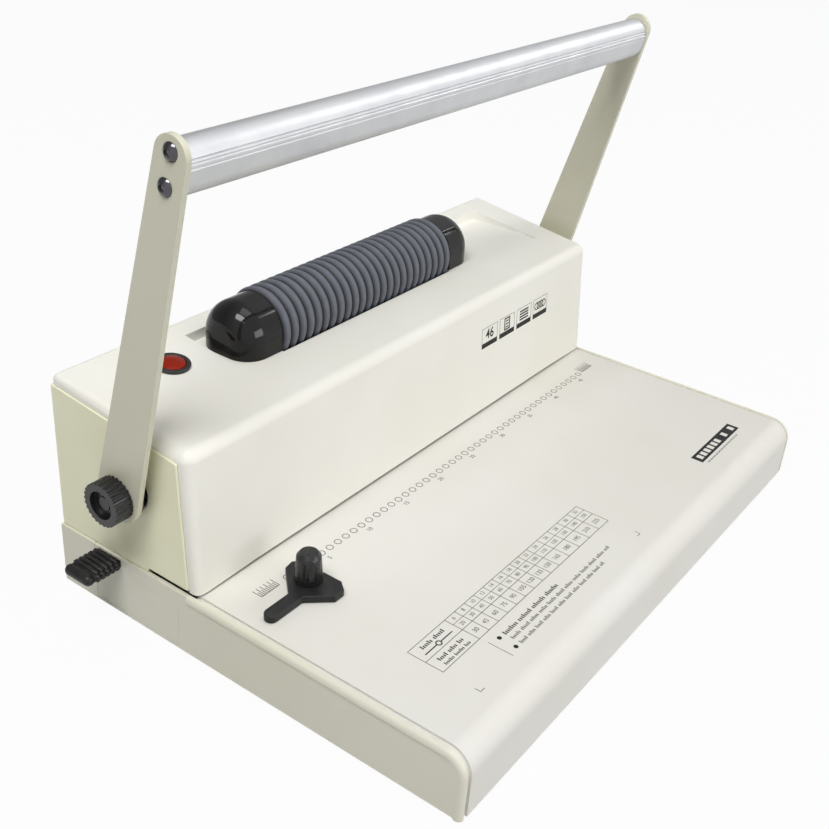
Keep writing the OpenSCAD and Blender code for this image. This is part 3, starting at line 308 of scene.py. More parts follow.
def moulded(name, shade, dusty_shade, texture, rough, shine=0.5):
    """A dark or glossy surface. Its texture is the grains per metre and their depth in metres."""
    grain_per_m, grain_depth = texture
    material, skin, flow = new_finish(name, Specular_IOR_Level=shine)
    dust = flow.noise(DUST_PER_M, detail=5.0).clamped(*DUST_SPAN)
    grain = flow.noise(grain_per_m, detail=3.0)
    feed(skin, Base_Color=dust.mix(shade, dusty_shade),
         Roughness=rough + DARK_ROUGH * (grain - MIDDLE) + DUST_ROUGH * dust,
         Normal=flow.bump(grain, DARK_BUMP, grain_depth))
    return material


black_matt = moulded("black_matt", (0.022, 0.022, 0.023), (0.040, 0.040, 0.040),
                     (1300.0, 0.00006), rough=0.40, shine=0.4)
black_gloss = moulded("black_gloss", (0.005, 0.005, 0.005), (0.008, 0.008, 0.008),
                      (500.0, 0.000002), rough=0.07, shine=0.3)
black_rubber = moulded("black_rubber", (0.022, 0.022, 0.023), (0.040, 0.040, 0.040),
                       (900.0, 0.00008), rough=0.72)
guide_black = moulded("guide_black", (0.010, 0.010, 0.011), (0.020, 0.020, 0.020),
                      (1300.0, 0.00005), rough=0.40, shine=0.3)
knob_black = moulded("knob_black", (0.010, 0.010, 0.011), (0.020, 0.020, 0.021),
                     (1300.0, 0.00003), rough=0.28, shine=0.45)
red_gloss = moulded("red_gloss", (0.25, 0.013, 0.003), (0.28, 0.018, 0.005),
                    (420.0, 0.00001), rough=0.22, shine=0.12)
ink_black = moulded("ink_black", (0.012, 0.012, 0.012), (0.030, 0.030, 0.029),
                    INK_GRAIN, rough=0.55, shine=0.2)
ink_grey = moulded("ink_grey", (0.110, 0.110, 0.105), (0.160, 0.160, 0.155),
                   INK_GRAIN, rough=0.55, shine=0.2)
board_green = moulded("board_green", (0.02, 0.11, 0.045), (0.04, 0.16, 0.07),
                      (700.0, 0.00003), rough=0.40)
print("dark finishes made")

# %% [markdown]
# ## Bare metals
# The grip is drawn aluminium: the die leaves fine lines along its length, so its noise is stretched hard
# along x. The grip's bolts are dark chrome, steel plates are ground, bright rods are polished and bushes are
# turned bronze. Anisotropy could stand for the lines, but real lines in the bump also break up the highlight.

# %% Metal finishes
PATCHES_PER_M, PATCHES_SPAN, PATCHES_ROUGH = 45.0, (0.40, 0.70), 0.05
LINES_ROUGH, LINES_BUMP = 0.14, 0.35
ALONG_X = (14.0, 2600.0, 2600.0)
ALONG_Z = (2200.0, 2200.0, 60.0)


def metal(name, shade, worn_shade, stretch, rough, line_depth):
    """Bare metal with fine lines. The stretch gives the lines per metre along each axis."""
    material, skin, flow = new_finish(name, Metallic=1.0)
    lines = flow.noise(1.0, detail=4.0, stretch=stretch)
    patches = flow.noise(PATCHES_PER_M, detail=3.0).clamped(*PATCHES_SPAN)
    feed(skin, Base_Color=patches.mix(shade, worn_shade),
         Roughness=rough + LINES_ROUGH * (lines - MIDDLE) + PATCHES_ROUGH * patches,
         Normal=flow.bump(lines, LINES_BUMP, line_depth))
    return material


drawn_aluminium = metal("drawn_aluminium", (0.585, 0.595, 0.605), (0.53, 0.54, 0.56),
                        ALONG_X, rough=0.47, line_depth=0.00002)
dark_chrome = metal("dark_chrome", (0.100, 0.096, 0.104), (0.070, 0.067, 0.073),
                    ALONG_X, rough=0.08, line_depth=0.00001)
ground_steel = metal("ground_steel", (0.52, 0.53, 0.55), (0.44, 0.45, 0.47),
                     ALONG_X, rough=0.34, line_depth=0.00003)
bright_steel = metal("bright_steel", (0.70, 0.71, 0.72), (0.64, 0.65, 0.67),
                     ALONG_Z, rough=0.18, line_depth=0.00001)
turned_bronze = metal("turned_bronze", (0.55, 0.38, 0.16), (0.47, 0.32, 0.13),
                      ALONG_Z, rough=0.30, line_depth=0.00003)
print("metal finishes made")

# %% [markdown]
# ## Give every solid part its finish and soft edges
# No real edge is perfectly sharp, and an edge that catches light is what tells the eye that a thing is real.
# The solids arrive as loose triangles, so a Weld modifier joins their corners and a planar Decimate turns
# flat patches back into single faces. Then a Bevel rounds the edges by the radius that the real piece has,
# and a normal modifier keeps the large faces flat. Modifiers leave the solid's own mesh as it was.

# %% Dressing
JOIN_MM = 0.002
FLAT_DEG, EDGE_DEG = 0.5, 40
ROUND_STEPS = 3


def dress(finish, round_mm, *names):
    """Gives solids a finish and edges rounded by a radius; 0 leaves their edges as they are."""
    for name in names:
        solid = nodes[name]
        solid.data.materials.clear()
        solid.data.materials.append(finish)
        weld = solid.modifiers.new("joined_corners", "WELD")
        weld.merge_threshold = JOIN_MM * MM
        whole = solid.modifiers.new("whole_faces", "DECIMATE")
        whole.decimate_type = "DISSOLVE"
        whole.angle_limit = math.radians(FLAT_DEG)
        if round_mm:
            rounding = solid.modifiers.new("soft_edges", "BEVEL")
            rounding.width = round_mm * MM
            rounding.segments = ROUND_STEPS
            rounding.limit_method = "ANGLE"
            rounding.angle_limit = math.radians(EDGE_DEG)
            rounding.use_clamp_overlap = True
        solid.data.polygons.foreach_set("use_smooth", [True] * len(solid.data.polygons))
        flat = solid.modifiers.new("flat_faces", "WEIGHTED_NORMAL")
        flat.keep_sharp = True


dress(panel_ivory, 1.0, "left_end_panel", "right_end_panel")
dress(cover_ivory, 0.35, "top_cover", "rear_cover")
dress(cap_ivory, 0.15, "left_end_cap", "right_end_cap", "chip_tray")
dress(table_paint, 1.1, "table_top")
dress(arm_paint, 0.9, "left_arm", "right_arm")
dress(drawn_aluminium, 0.1, "handle_grip")
dress(dark_chrome, 0.1, "grip_bolts")
dress(knob_black, 0.3, "left_clamp_knob", "right_clamp_knob", "guide_knob", "button_ring")
dress(guide_black, 0.0, "tray_grip")
dress(guide_black, 0.6, "edge_guide")
# The arm spacers are dark plastic, and their black rim beside each arm also stands for the shade in the gap
# between arm and panel: partly painted shade.
dress(black_matt, 0.3, "arm_spacers", "power_inlet", "button_switch", "roller_pulley", "motor_pulley")
dress(black_gloss, 0.2, "left_roller_dome", "right_roller_dome")
dress(black_rubber, 0.3, "rubber_feet", "drive_belt")
dress(red_gloss, 0.3, "button_cap")
dress(board_green, 0.2, "power_board")
dress(ground_steel, 0.2, "base_plate", "left_side_frame", "right_side_frame", "die_plate", "paper_stop",
      "guide_plate", "die_screws", "cross_bar", "motor_bracket", "inserter_motor", "roller_bearings",
      "rear_screws", "base_screws", "tray_rails", "drive_shaft", "punch_bar", "pin_retainer", "drive_racks",
      "roller_core", "guide_clamp", "motor_shaft")
dress(bright_steel, 0.0, "guide_rods", "punch_pins")
dress(turned_bronze, 0.2, "shaft_bushes", "rod_bushes", "drive_pinions")
undressed = [n for n, o in nodes.items() if not o.modifiers]
print("dressed", len(nodes) - len(undressed), "solids, to be replaced:", undressed)

# %% [markdown]
# ## The ribbed sleeve
# A rubber sleeve grips the coil while it is wound in. The solid has plain round ribs; here the sleeve is
# turned again from one smooth profile, as on a lathe, so that each rib is fully round on top and meets the
# next in a narrow valley. A profile that is a formula needs no table of points.

# %% Turn the sleeve
RIBS = 24
POINTS_PER_RIB = 16
AROUND = 96
RIB_MM = 2.0
RIB_POWER = 2.0
BORE_GAP_MM = 0.06

sleeve_low, sleeve_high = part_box("roller_sleeve")
sleeve_mid = (sleeve_low + sleeve_high) / 2
outer_r = (sleeve_high.z - sleeve_low.z) / 2
core_low, core_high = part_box("roller_core")
bore_r = (core_high.z - core_low.z) / 2 + BORE_GAP_MM * MM


def smooth_piece(name, shape):
    """A smooth-shaded object in the scene from a finished shape."""
    bmesh.ops.recalc_face_normals(shape, faces=shape.faces)
    mesh = bpy.data.meshes.new(name)
    shape.to_mesh(mesh)
    shape.free()
    mesh.polygons.foreach_set("use_smooth", [True] * len(mesh.polygons))
    return put(name, mesh)


def turned(name, profile, centre, around):
    """A closed ring turned about an axis along x from a closed profile of (x, radius) points."""
    shape = bmesh.new()
    rings = []
    for k in range(around):
        a = 2 * math.pi * k / around
        rings.append([shape.verts.new((x, centre.y + r * math.cos(a), centre.z + r * math.sin(a)))
                      for x, r in profile])
    for ring, after in zip(rings, rings[1:] + rings[:1]):
        for i in range(len(profile)):
            j = (i + 1) % len(profile)
            shape.faces.new((ring[i], after[i], after[j], ring[j]))
    return smooth_piece(name, shape)


steps = RIBS * POINTS_PER_RIB
sleeve_profile = []
for i in range(steps + 1):
    x = sleeve_low.x + (sleeve_high.x - sleeve_low.x) * i / steps
    off_crest = abs(2 * (i % POINTS_PER_RIB) / POINTS_PER_RIB - 1)
    sleeve_profile.append((x, outer_r - RIB_MM * MM * off_crest ** RIB_POWER))
sleeve_profile += [(sleeve_high.x, bore_r), (sleeve_low.x, bore_r)]
sleeve = turned("ribbed_sleeve", sleeve_profile, sleeve_mid, AROUND)
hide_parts("roller_sleeve")
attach(sleeve, "roller")
print("sleeve:", RIBS, "ribs,", len(sleeve.data.polygons), "faces")

# %% [markdown]
# ## Grey rubber with painted shade in its valleys
# Dust pales the rubber in patches, and the valleys between the ribs are painted dark as shade. Painting that
# by hand would not fit the ribs, so the painted shade follows the distance from the roller's axis, which the
# shader can work out.

# %% The sleeve's finish
RUBBER = (0.118, 0.128, 0.155)
RUBBER_DUSTY = (0.145, 0.155, 0.180)
# The valley colour is painted shade between the ribs, not the rubber's own colour.
RUBBER_PAINTED_SHADE = (0.010, 0.010, 0.012)
VALLEY_MM, CREST_MM = 1.6, 0.10
RUBBER_ROUGH, RUBBER_GRAIN_ROUGH, RUBBER_DUST_ROUGH = 0.50, 0.10, 0.12
RUBBER_GRAIN_PER_M, RUBBER_GRAIN_DEPTH = 1100.0, 0.00006
RUBBER_DUST_PER_M, RUBBER_DUST_SPAN = 220.0, (0.35, 0.75)
RUBBER_SHINE = 0.35
ACROSS_X = (0.0, 1.0, 1.0)

grey_rubber, skin, flow = new_finish("grey_rubber", Specular_IOR_Level=RUBBER_SHINE)
from_axis = flow.vector("MULTIPLY", flow.vector("SUBTRACT", flow.place(), sleeve_mid), ACROSS_X)
radius = flow.vector("LENGTH", from_axis, out="Value")
# Painted shade: near-black in the valleys, fading to the rubber's own grey towards the crests.
valley_shade_fade = radius.clamped(outer_r - VALLEY_MM * MM, outer_r - CREST_MM * MM)
dust = flow.noise(RUBBER_DUST_PER_M, detail=5.0).clamped(*RUBBER_DUST_SPAN)
grain = flow.noise(RUBBER_GRAIN_PER_M, detail=3.0)
worn = dust.mix(RUBBER, RUBBER_DUSTY)
feed(skin, Base_Color=valley_shade_fade.mix(RUBBER_PAINTED_SHADE, worn),
     Roughness=RUBBER_ROUGH + RUBBER_GRAIN_ROUGH * grain + RUBBER_DUST_ROUGH * dust,
     Normal=flow.bump(grain, DARK_BUMP, RUBBER_GRAIN_DEPTH))
sleeve.data.materials.append(grey_rubber)
print("crests pale from", CREST_MM, "mm, valleys dark from", VALLEY_MM, "mm under the top")

# %% [markdown]
# ## The return springs
# Two springs around the guide rods push the punch bar up again. In the solid model they are plain tubes, but
# a spring is a wire wound along a helix, so we carry a small ring along one and join each ring to the next.
# A Screw modifier could wind it too, but would leave the wire's ends open. A real spring shortens when the
# bar comes down; here the springs keep their full length, and only the pressed length is printed.

# %% Wind the springs
SPRING_TURNS, STEPS_PER_TURN = 7, 24
WIRE_R, WIRE_SIDES = 0.6 * MM, 8
SPRING_GAP_MM = 0.05

spring_low, spring_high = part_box("return_springs")
spring_r = (spring_high.y - spring_low.y) / 2
spring_length = spring_high.z - spring_low.z
coil_r = spring_r - WIRE_R - SPRING_GAP_MM * MM
climb = (spring_length - 2 * WIRE_R) / (SPRING_TURNS * STEPS_PER_TURN)
wire_turns = [2 * math.pi * i / WIRE_SIDES for i in range(WIRE_SIDES)]
shape = bmesh.new()
for x in (spring_low.x + spring_r, spring_high.x - spring_r):
    foot = Vector((x, spring_low.y + spring_r, spring_low.z + WIRE_R))
    rings = []
    for k in range(SPRING_TURNS * STEPS_PER_TURN + 1):
        a = 2 * math.pi * k / STEPS_PER_TURN
        out = Vector((math.cos(a), math.sin(a), 0))
        rings.append([shape.verts.new(foot + (coil_r + WIRE_R * math.cos(b)) * out
                                      + Vector((0, 0, climb * k + WIRE_R * math.sin(b))))
                      for b in wire_turns])
    for ring, after in zip(rings, rings[1:]):
        for i in range(WIRE_SIDES):
            shape.faces.new((ring[i - 1], ring[i], after[i], after[i - 1]))
    shape.faces.new(rings[0])
    shape.faces.new(rings[-1])
springs = smooth_piece("coil_springs", shape)
springs.data.materials.append(bright_steel)
ram_joint = next(j for j in frame["record"]["behaviour"]["joints"] if j["name"] == "ram_slide")
travel = ram_joint["range_m"][1]
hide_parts("return_springs")
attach(springs, "frame")
1 - travel / spring_length
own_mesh(springs)
print("springs", round(spring_length / MM, 1), "mm,", round((spring_length - travel) / MM, 1), "when pressed")

# %% [markdown]
# ## Printed marks
# The table carries a printed scale, a chart and notes, and the front cover carries signs. Ink has a
# thickness, about a twentieth of a millimetre, so each mark is a real plate: flat faces drawn in one plane
# and thickened by a Solidify modifier. Drawing them in a plane of their own lets the same helpers print on
# the upright cover too. Small print is left as rows of blank strokes.

# %% Ink helpers
INK_MM = 0.05
INK_LIFT_MM = 0.01
INK_JOIN_MM = 0.001
FONT_PER_DIGIT = 1.4
LETTER_STEP, STROKE_SHARE = 0.55, 0.55
LOW_LETTER, TALL_EVERY = 0.68, 4


class Ink:
    """Flat marks in one plane, in millimetres along two directions, made into one printed piece."""

    def __init__(self, origin, across, along):
        self.shape = bmesh.new()
        self.place = Matrix((across, along, across.cross(along))).transposed().to_4x4()
        self.place.translation = origin

    def face(self, points):
        """One flat face through points of the plane."""
        corners = [self.shape.verts.new(self.place @ Vector((u * MM, v * MM, 0))) for u, v in points]
        self.shape.faces.new(corners)

    def bar(self, u0, v0, u1, v1):
        """A rectangle between two corners."""
        self.face([(u0, v0), (u1, v0), (u1, v1), (u0, v1)])

    def stripes(self, u, half, v, tall, pitch, count):
        """Level bars, one above the other, on both sides of u and up from v."""
        for k in range(count):
            self.bar(u - half, v + pitch * k, u + half, v + tall + pitch * k)

    def line(self, u0, v0, u1, v1, width):
        """A straight stroke between two points."""
        length = math.hypot(u1 - u0, v1 - v0)
        nu, nv = -(v1 - v0) / length * width / 2, (u1 - u0) / length * width / 2
        self.face([(u0 - nu, v0 - nv), (u1 - nu, v1 - nv), (u1 + nu, v1 + nv), (u0 + nu, v0 + nv)])

    def ring(self, u, v, r, width, around=24):
        """A round stroke about a point, its outer edge at r."""
        angles = [2 * math.pi * k / around for k in range(around)]
        turn = [(math.cos(a), math.sin(a)) for a in angles]
        inner = r - width
        for (c0, s0), (c1, s1) in zip(turn, turn[1:] + turn[:1]):
            self.face([(u + inner * c0, v + inner * s0), (u + r * c0, v + r * s0),
                       (u + r * c1, v + r * s1), (u + inner * c1, v + inner * s1)])

    def frame_of(self, u0, v0, u1, v1, width):
        """Four bars just inside a rectangle."""
        self.bar(u0, v0, u1, v0 + width)
        self.bar(u0, v1 - width, u1, v1)
        self.bar(u0, v0 + width, u0 + width, v1 - width)
        self.bar(u1 - width, v0 + width, u1, v1 - width)

    def number(self, value, u, v, height, bold=0.0):
        """A plain number, centred on a point, its strokes thickened by a distance."""
        curve = bpy.data.curves.new("digits", "FONT")
        curve.body = str(value)
        curve.size = height * FONT_PER_DIGIT
        curve.offset = bold
        curve.align_x = "CENTER"
        curve.align_y = "CENTER"
        digits = put("digits", curve)
        drawn = digits.evaluated_get(bpy.context.evaluated_depsgraph_get()).to_mesh()
        for face in drawn.polygons:
            self.face([(u + drawn.vertices[i].co.x, v + drawn.vertices[i].co.y) for i in face.vertices])
        bpy.data.objects.remove(digits)
        bpy.data.curves.remove(curve)

    def words(self, u0, u1, v, height, letters):
        """A line of blank words: rows of short strokes with gaps, in place of letters."""
        step = LETTER_STEP * height
        for k in range(int((u1 - u0) / step)):
            if k % letters:
                u = u0 + k * step
                tall = height * (1.0 if k % TALL_EVERY == 1 else LOW_LETTER)
                self.bar(u, v - height / 2, u + STROKE_SHARE * step, v - height / 2 + tall)

    def print_on(self, name, body, ink):
        """Makes the marks a piece of thick ink that rides on a body."""
        bmesh.ops.remove_doubles(self.shape, verts=self.shape.verts, dist=INK_JOIN_MM * MM)
        mesh = bpy.data.meshes.new(name)
        self.shape.to_mesh(mesh)
        self.shape.free()
        piece = put(name, mesh)
        thick = piece.modifiers.new("ink", "SOLIDIFY")
        thick.thickness = INK_MM * MM
        thick.offset = 1.0
        mesh.materials.append(ink)
        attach(piece, body)
        print(name, len(mesh.polygons), "faces")


def table_ink():
    """Ink on the table, u to the right and v to the back."""
    return Ink(at(0, 0, TABLE_Z / MM + INK_LIFT_MM), X, Y)


print("ink is", INK_MM, "mm thick")

# %% [markdown]
# ## The hole scale
# One ring for each punched hole shows the user where the row will fall, with a number at every fifth. An
# Array modifier could repeat the ring, but not the numbers, so one loop draws both at the coil's own pitch.

# %% Rings and numbers
HOLES = 46
HOLE_PITCH = 6.35
FIRST_HOLE_X, HOLE_Y = -140.6, 132.8
RING_R, RING_LINE = 2.05, 0.42
NUMBER_EVERY, NUMBER_DROP, NUMBER_H = 5, 5.4, 2.6

scale = table_ink()
for i in range(HOLES):
    x = FIRST_HOLE_X + i * HOLE_PITCH
    scale.ring(x, HOLE_Y, RING_R, RING_LINE)
    if (i + 1) % NUMBER_EVERY == 0:
        scale.number(i + 1, x, HOLE_Y - NUMBER_DROP, NUMBER_H)
scale.print_on("hole_scale", "frame", ink_grey)

# %% [markdown]
# ## Ticks at both ends of the row
# Two small combs help to set the edge guide. Every second tooth is longer, so a loop with a remainder
# draws them, and one line along the foot joins them.

# %% Ticks
COMBS = ((-159.6, 131.6), (150.2, 132.4))
COMB_TEETH, COMB_STEP = 11, 1.22
TOOTH_SHORT, TOOTH_LONG, TOOTH_LINE = 3.6, 6.0, 0.42

ticks = table_ink()
for left, low in COMBS:
    for i in range(COMB_TEETH):
        u = left + i * COMB_STEP
        ticks.line(u, low, u, low + (TOOTH_SHORT if i % 2 else TOOTH_LONG), TOOTH_LINE)
    ticks.line(left, low, left + (COMB_TEETH - 1) * COMB_STEP, low, TOOTH_LINE)
ticks.print_on("end_ticks", "frame", ink_grey)

# %% [markdown]
# ## The chart
# A chart helps the user choose a coil for a stack of paper. Ours is a plain grid with plain numbers that
# rise evenly, so a loop works them out. Its last columns are wider, for longer numbers.

# %% Grid and numbers
CHART_LEFT, CHART_RIGHT, HEAD_RIGHT = -146.0, 7.5, -117.0
CHART_LOW, CHART_MID, CHART_SPLIT, CHART_TOP = 37.6, 47.2, 52.4, 57.4
NARROW_COLUMNS, WIDE_COLUMNS, WIDE_LEFT = 9, 5, -44.5
CHART_LINE, SPLIT_LINE = 0.32, 0.256
CHART_ROWS = (  # low and high edge, first number, step from column to column, height of the digits
    (CHART_SPLIT, CHART_TOP, 6, 2, 2.2),
    (CHART_MID, CHART_SPLIT, 20, 10, 2.2),
    (CHART_LOW, CHART_MID, 30, 15, 2.6),
)

chart = table_ink()
chart.frame_of(CHART_LEFT, CHART_LOW, CHART_RIGHT, CHART_TOP, CHART_LINE)
chart.line(CHART_LEFT, CHART_MID, CHART_RIGHT, CHART_MID, CHART_LINE)
chart.line(HEAD_RIGHT, CHART_SPLIT, CHART_RIGHT, CHART_SPLIT, SPLIT_LINE)
narrow = (WIDE_LEFT - HEAD_RIGHT) / NARROW_COLUMNS
wide = (CHART_RIGHT - WIDE_LEFT) / WIDE_COLUMNS
edges = [HEAD_RIGHT + i * narrow for i in range(NARROW_COLUMNS)]
edges += [WIDE_LEFT + i * wide for i in range(WIDE_COLUMNS + 1)]
for i, (u0, u1) in enumerate(zip(edges, edges[1:])):
    chart.line(u0, CHART_LOW, u0, CHART_TOP, CHART_LINE)
    for low, high, first, step, height in CHART_ROWS:
        chart.number(first + step * i, (u0 + u1) / 2, (low + high) / 2, height)
chart.print_on("coil_chart", "frame", ink_grey)

# %% [markdown]
# ## The chart's heads and the notes
# The chart's rows begin with blank words and with a sign, a ring on a line. Blank lines of notes stand below,
# two of them beside dots, and small corner marks close the printed field. Real letters would say nothing
# that this machine needs, so strokes of a letter's size give the look of print.

# %% Heads, notes and corner marks
HEAD_U0, HEAD_U1 = -142.0, -121.0
SYMBOL_V, SYMBOL_R, SYMBOL_LINE = 50.2, 1.7, 0.6
DOTS_U, DOTS_V, DOT_R, DOT_HOLE_R, DOT_SIDES = -110.6, (31.2, 22.3), 1.2, 0.02, 20
NOTE_LEFT = -108.0
RULE_U, RULE_LOW, RULE_TOP, RULE_LINE = -116.6, 20.0, 33.5, 0.25
CORNERS = ((-145.3, 18.6, 1), (8.0, 19.3, -1))
CORNER_ARM, CORNER_LINE = 3.0, 0.35
BLACK_WORDS = (  # left, right, middle, height of the letters, places from gap to gap
    (HEAD_U0 + 1, HEAD_U1, 54.1, 2.4, 7),
    (HEAD_U0, HEAD_U1, 43.9, 2.3, 6),
    (HEAD_U0, HEAD_U1, 40.2, 1.8, 8),
    (NOTE_LEFT, -56.0, 31.2, 2.5, 9),
)
GREY_WORDS = (
    (NOTE_LEFT, -13.0, 26.8, 2.1, 7),
    (NOTE_LEFT, -27.0, 22.3, 2.1, 6),
    (100.5, 145.0, 21.4, 1.1, 6),
)

notes = table_ink()
for row in BLACK_WORDS:
    notes.words(*row)
head_u = (HEAD_U0 + HEAD_U1) / 2
notes.line(HEAD_U0, SYMBOL_V, head_u - SYMBOL_R, SYMBOL_V, SYMBOL_LINE)
notes.line(head_u + SYMBOL_R, SYMBOL_V, HEAD_U1, SYMBOL_V, SYMBOL_LINE)
notes.ring(head_u, SYMBOL_V, SYMBOL_R, SYMBOL_LINE)
for v in DOTS_V:
    notes.ring(DOTS_U, v, DOT_R, DOT_R - DOT_HOLE_R, DOT_SIDES)
notes.line(RULE_U, RULE_LOW, RULE_U, RULE_TOP, RULE_LINE)
notes.print_on("notes", "frame", ink_black)

small_notes = table_ink()
for row in GREY_WORDS:
    small_notes.words(*row)
for u, v, side in CORNERS:
    small_notes.line(u, v, u + side * CORNER_ARM, v, CORNER_LINE)
    small_notes.line(u, v, u, v + CORNER_ARM, CORNER_LINE)
small_notes.print_on("small_notes", "frame", ink_grey)

# %% [markdown]
# ## The badge
# A black plate with blank fields stands at the right. A Boolean could cut the fields out, but black blocks
# between two long bars leave them open and keep every face a plain rectangle.

# %% Bars and blocks
BADGE_LEFT, BADGE_RIGHT, BADGE_LOW, BADGE_HIGH = 98.3, 152.3, 23.6, 31.2
BADGE_EDGE = 1.7
FIELD_LEFT, FIELD_PITCH, FIELD_WIDTH = 101.4, 5.0, 3.5
FIELD_PLACES = (0, 1, 2, 3, 4, 5, 7, 9)

badge = table_ink()
badge.bar(BADGE_LEFT, BADGE_LOW, BADGE_RIGHT, BADGE_LOW + BADGE_EDGE)
badge.bar(BADGE_LEFT, BADGE_HIGH - BADGE_EDGE, BADGE_RIGHT, BADGE_HIGH)
block_left = BADGE_LEFT
for k in FIELD_PLACES:
    field = FIELD_LEFT + FIELD_PITCH * k
    badge.bar(block_left, BADGE_LOW + BADGE_EDGE, field, BADGE_HIGH - BADGE_EDGE)
    block_left = field + FIELD_WIDTH
badge.bar(block_left, BADGE_LOW + BADGE_EDGE, BADGE_RIGHT, BADGE_HIGH - BADGE_EDGE)
badge.print_on("badge", "frame", ink_black)

# %% [markdown]
# ## Four small signs on the front cover
# Each sign is a thin frame with a picture over a black bar: the number of holes, a sheet of paper, a stack
# of sheets and a coil. The cover's front leans back a little, so two rays find where it stands at two heights
# and the signs' plane goes through both points.

# %% The signs' plane
SIGN_LEFTS = (55.6, 75.0, 94.6, 114.0)
SIGN_LOW, SIGN_HIGH = 79.3, 92.0
RAY_START_Y = -100


def front_of(name, x, z):
    """Where a ray from the user's side meets a solid, at a height, in metres."""
    solid = nodes[name]
    to_solid = solid.matrix_world.inverted()
    _, place, _, _ = solid.ray_cast(to_solid @ at(x, RAY_START_Y, z), to_solid.to_3x3() @ Y,
                                    depsgraph=bpy.context.evaluated_depsgraph_get())
    return solid.matrix_world @ place


foot, head = (front_of("top_cover", SIGN_LEFTS[0], z) for z in (SIGN_LOW, SIGN_HIGH))
upwards = (head - foot).normalized()
outwards = X.cross(upwards)
cover_foot = foot - upwards * (foot.z / upwards.z)
cover_foot.x = MIDDLE_X
print("the front leans", round(math.degrees(math.atan2(upwards.y, upwards.z)), 2), "degrees")

# %% The signs
SIGN_WIDTH, SIGN_BAR, SIGN_LINE = 16.8, 2.9, 0.22
COUNT_H, COUNT_BOLD = 6.2, 0.10
SHEET_HALF, SHEET_HALF_H, SHEET_LINE = 3.2, 4.0, 0.9
PRINT_HALF, PRINT_DROP, PRINT_H, PRINT_PITCH, PRINT_LINES = 1.6, 2.4, 0.8, 1.9, 3
STACK_HALF, STACK_DROP, STACK_H, STACK_PITCH, STACK_SHEETS = 5.0, 3.4, 1.0, 1.8, 4
COIL_HALF, COIL_PITCH, COIL_R, COIL_LINE, COIL_TURNS, COIL_SIDES = 4.2, 2.8, 2.6, 0.7, 4, 20

signs = Ink(cover_foot + outwards * INK_LIFT_MM * MM, X, upwards)
for left in SIGN_LEFTS:
    signs.frame_of(left, SIGN_LOW + SIGN_BAR, left + SIGN_WIDTH, SIGN_HIGH, SIGN_LINE)
    signs.bar(left, SIGN_LOW, left + SIGN_WIDTH, SIGN_LOW + SIGN_BAR)
middle_v = (SIGN_LOW + SIGN_BAR + SIGN_HIGH) / 2
count_u, sheet_u, stack_u, coil_u = (left + SIGN_WIDTH / 2 for left in SIGN_LEFTS)
signs.number(HOLES, count_u, middle_v, COUNT_H, COUNT_BOLD)
signs.frame_of(sheet_u - SHEET_HALF, middle_v - SHEET_HALF_H, sheet_u + SHEET_HALF, middle_v + SHEET_HALF_H,
               SHEET_LINE)
signs.stripes(sheet_u, PRINT_HALF, middle_v - PRINT_DROP, PRINT_H, PRINT_PITCH, PRINT_LINES)
signs.stripes(stack_u, STACK_HALF, middle_v - STACK_DROP, STACK_H, STACK_PITCH, STACK_SHEETS)
for k in range(COIL_TURNS):
    signs.ring(coil_u - COIL_HALF + COIL_PITCH * k, middle_v, COIL_R, COIL_LINE, COIL_SIDES)
signs.print_on("cover_signs", "frame", ink_black)

# %% [markdown]
# ## Floor
# The photograph has a white background without a horizon. A curved backdrop could give that, but it would
# show from other sides, so a wide flat floor glows white for the camera and for reflections, through a
# Light Path node, and still takes the machine's shadow.

# %% The floor
FLOOR_HALF = 6.0
FLOOR_Z = -0.05 * MM
FLOOR_GLOW = 0.95
FLOOR_SHADE = (0.60, 0.60, 0.60, 1.0)
WHITE = (1.0, 1.0, 1.0, 1.0)


def ray(flow, kind):
    """One for rays of a kind, such as Camera, and zero for the others."""
    return flow.node("ShaderNodeLightPath", out=f"Is {kind} Ray")


def seen_rays(flow):
    """One for the rays that show the background: camera, mirror and glass rays."""
    return ray(flow, "Camera") + ray(flow, "Glossy") + ray(flow, "Transmission")


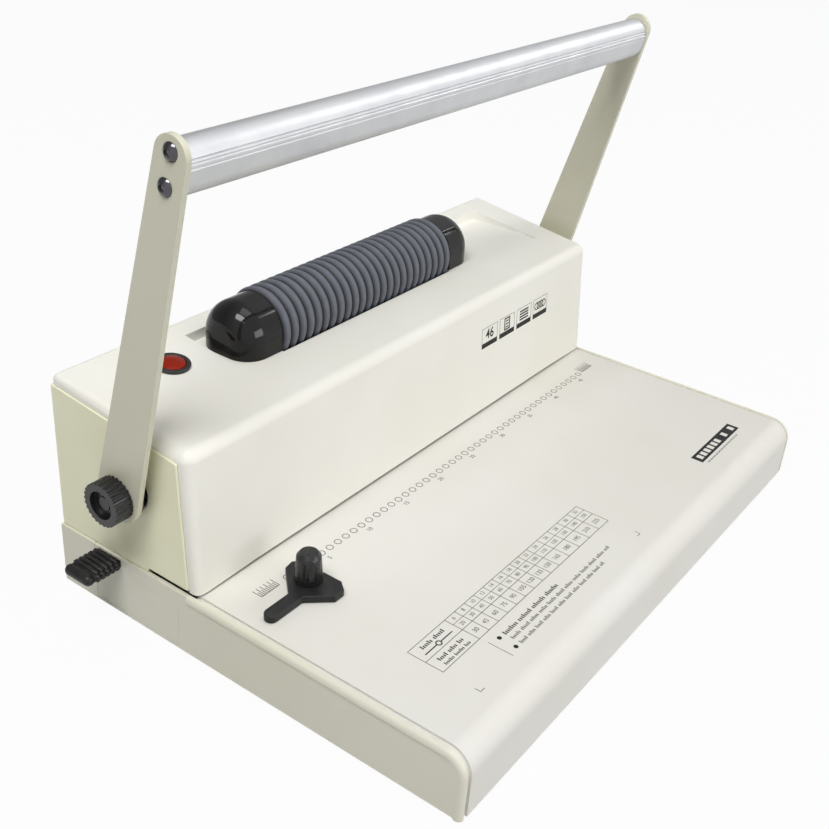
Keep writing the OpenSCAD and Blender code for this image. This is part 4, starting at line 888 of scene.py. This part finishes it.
floor_mesh = bpy.data.meshes.new("floor")
floor_mesh.from_pydata([(sx * FLOOR_HALF, sy * FLOOR_HALF, FLOOR_Z)
                        for sx, sy in ((-1, -1), (1, -1), (1, 1), (-1, 1))], [], [(0, 1, 2, 3)])
floor = put("floor", floor_mesh)
floor_white, floor_skin, flow = new_finish("floor_white", Roughness=0.9, Specular_IOR_Level=0.0,
                                           Base_Color=FLOOR_SHADE)
glow = flow.node("ShaderNodeEmission", {}, {"Color": WHITE, "Strength": 1.0})
paper = Flow(flow.tree, floor_skin.outputs[0])
both = flow.node("ShaderNodeMixShader", {}, {0: seen_rays(flow) * FLOOR_GLOW, 1: paper, 2: glow})
flow.tree.links.new(both.socket, flow.tree.nodes["Material Output"].inputs[0])
floor_mesh.materials.append(floor_white)
print("floor", 2 * FLOOR_HALF, "m wide")

# %% [markdown]
# ## Lamps and world
# The photograph has the soft light of a studio tent. Dark shadows of the knob and the arm on the end panel
# show that a strong lamp stood to the left, well above. The polished end cover mirrors a small one to the
# right and a wide, low one in front, and a large one overhead fills in. Area lamps give shadows soft edges
# as real ones do, where a sun or a point would draw them all hard. The tent is dimmer at the back, which
# draws a grey edge along the bright grip.

# %% The world and the lamps
SKY_LIGHT = 0.16
SKY_SEEN = 1.0
BACK_DIM, BACK_SPAN = 0.60, (0.0, 0.6)
LAMPS = {  # turn to the right of the front, height angle, distance in m, width and height in m, power in W
    "overhead_lamp": (20, 84, 1.7, 0.90, 0.90, 5.4),
    "right_lamp": (68, 35, 1.7, 0.55, 0.30, 3.6),
    "front_lamp": (8, 11, 1.8, 1.40, 0.60, 12.5),
    "left_lamp": (-78, 58, 1.7, 0.90, 0.60, 19.8),
}

world = bpy.data.worlds.new("studio")
bpy.context.scene.world = world
world.use_nodes = True
sky = Flow(world.node_tree)
dome_light = world.node_tree.nodes["Background"]
dome_light.inputs["Color"].default_value = WHITE
way = sky.node("ShaderNodeTexCoord", out="Generated")
to_back = sky.node("ShaderNodeSeparateXYZ", {}, {0: way}, out="Y").clamped(*BACK_SPAN)
strength = SKY_LIGHT + (SKY_SEEN - SKY_LIGHT) * seen_rays(sky) - BACK_DIM * to_back * ray(sky, "Glossy")
world.node_tree.links.new(strength.socket, dome_light.inputs["Strength"])
centre = (cad_low + cad_high) / 2
for name, (turn, height, distance, wide, tall, power) in LAMPS.items():
    towards = direction(turn, height)
    data = bpy.data.lights.new(name, "AREA")
    data.shape = "RECTANGLE"
    data.size, data.size_y = wide, tall
    data.energy = power
    lamp = put(name, data)
    lamp.location = centre + distance * towards
    lamp.rotation_euler = towards.to_track_quat("Z", "Y").to_euler()
bpy.context.scene.view_settings.view_transform = "Standard"
print(len(LAMPS), "lamps set")
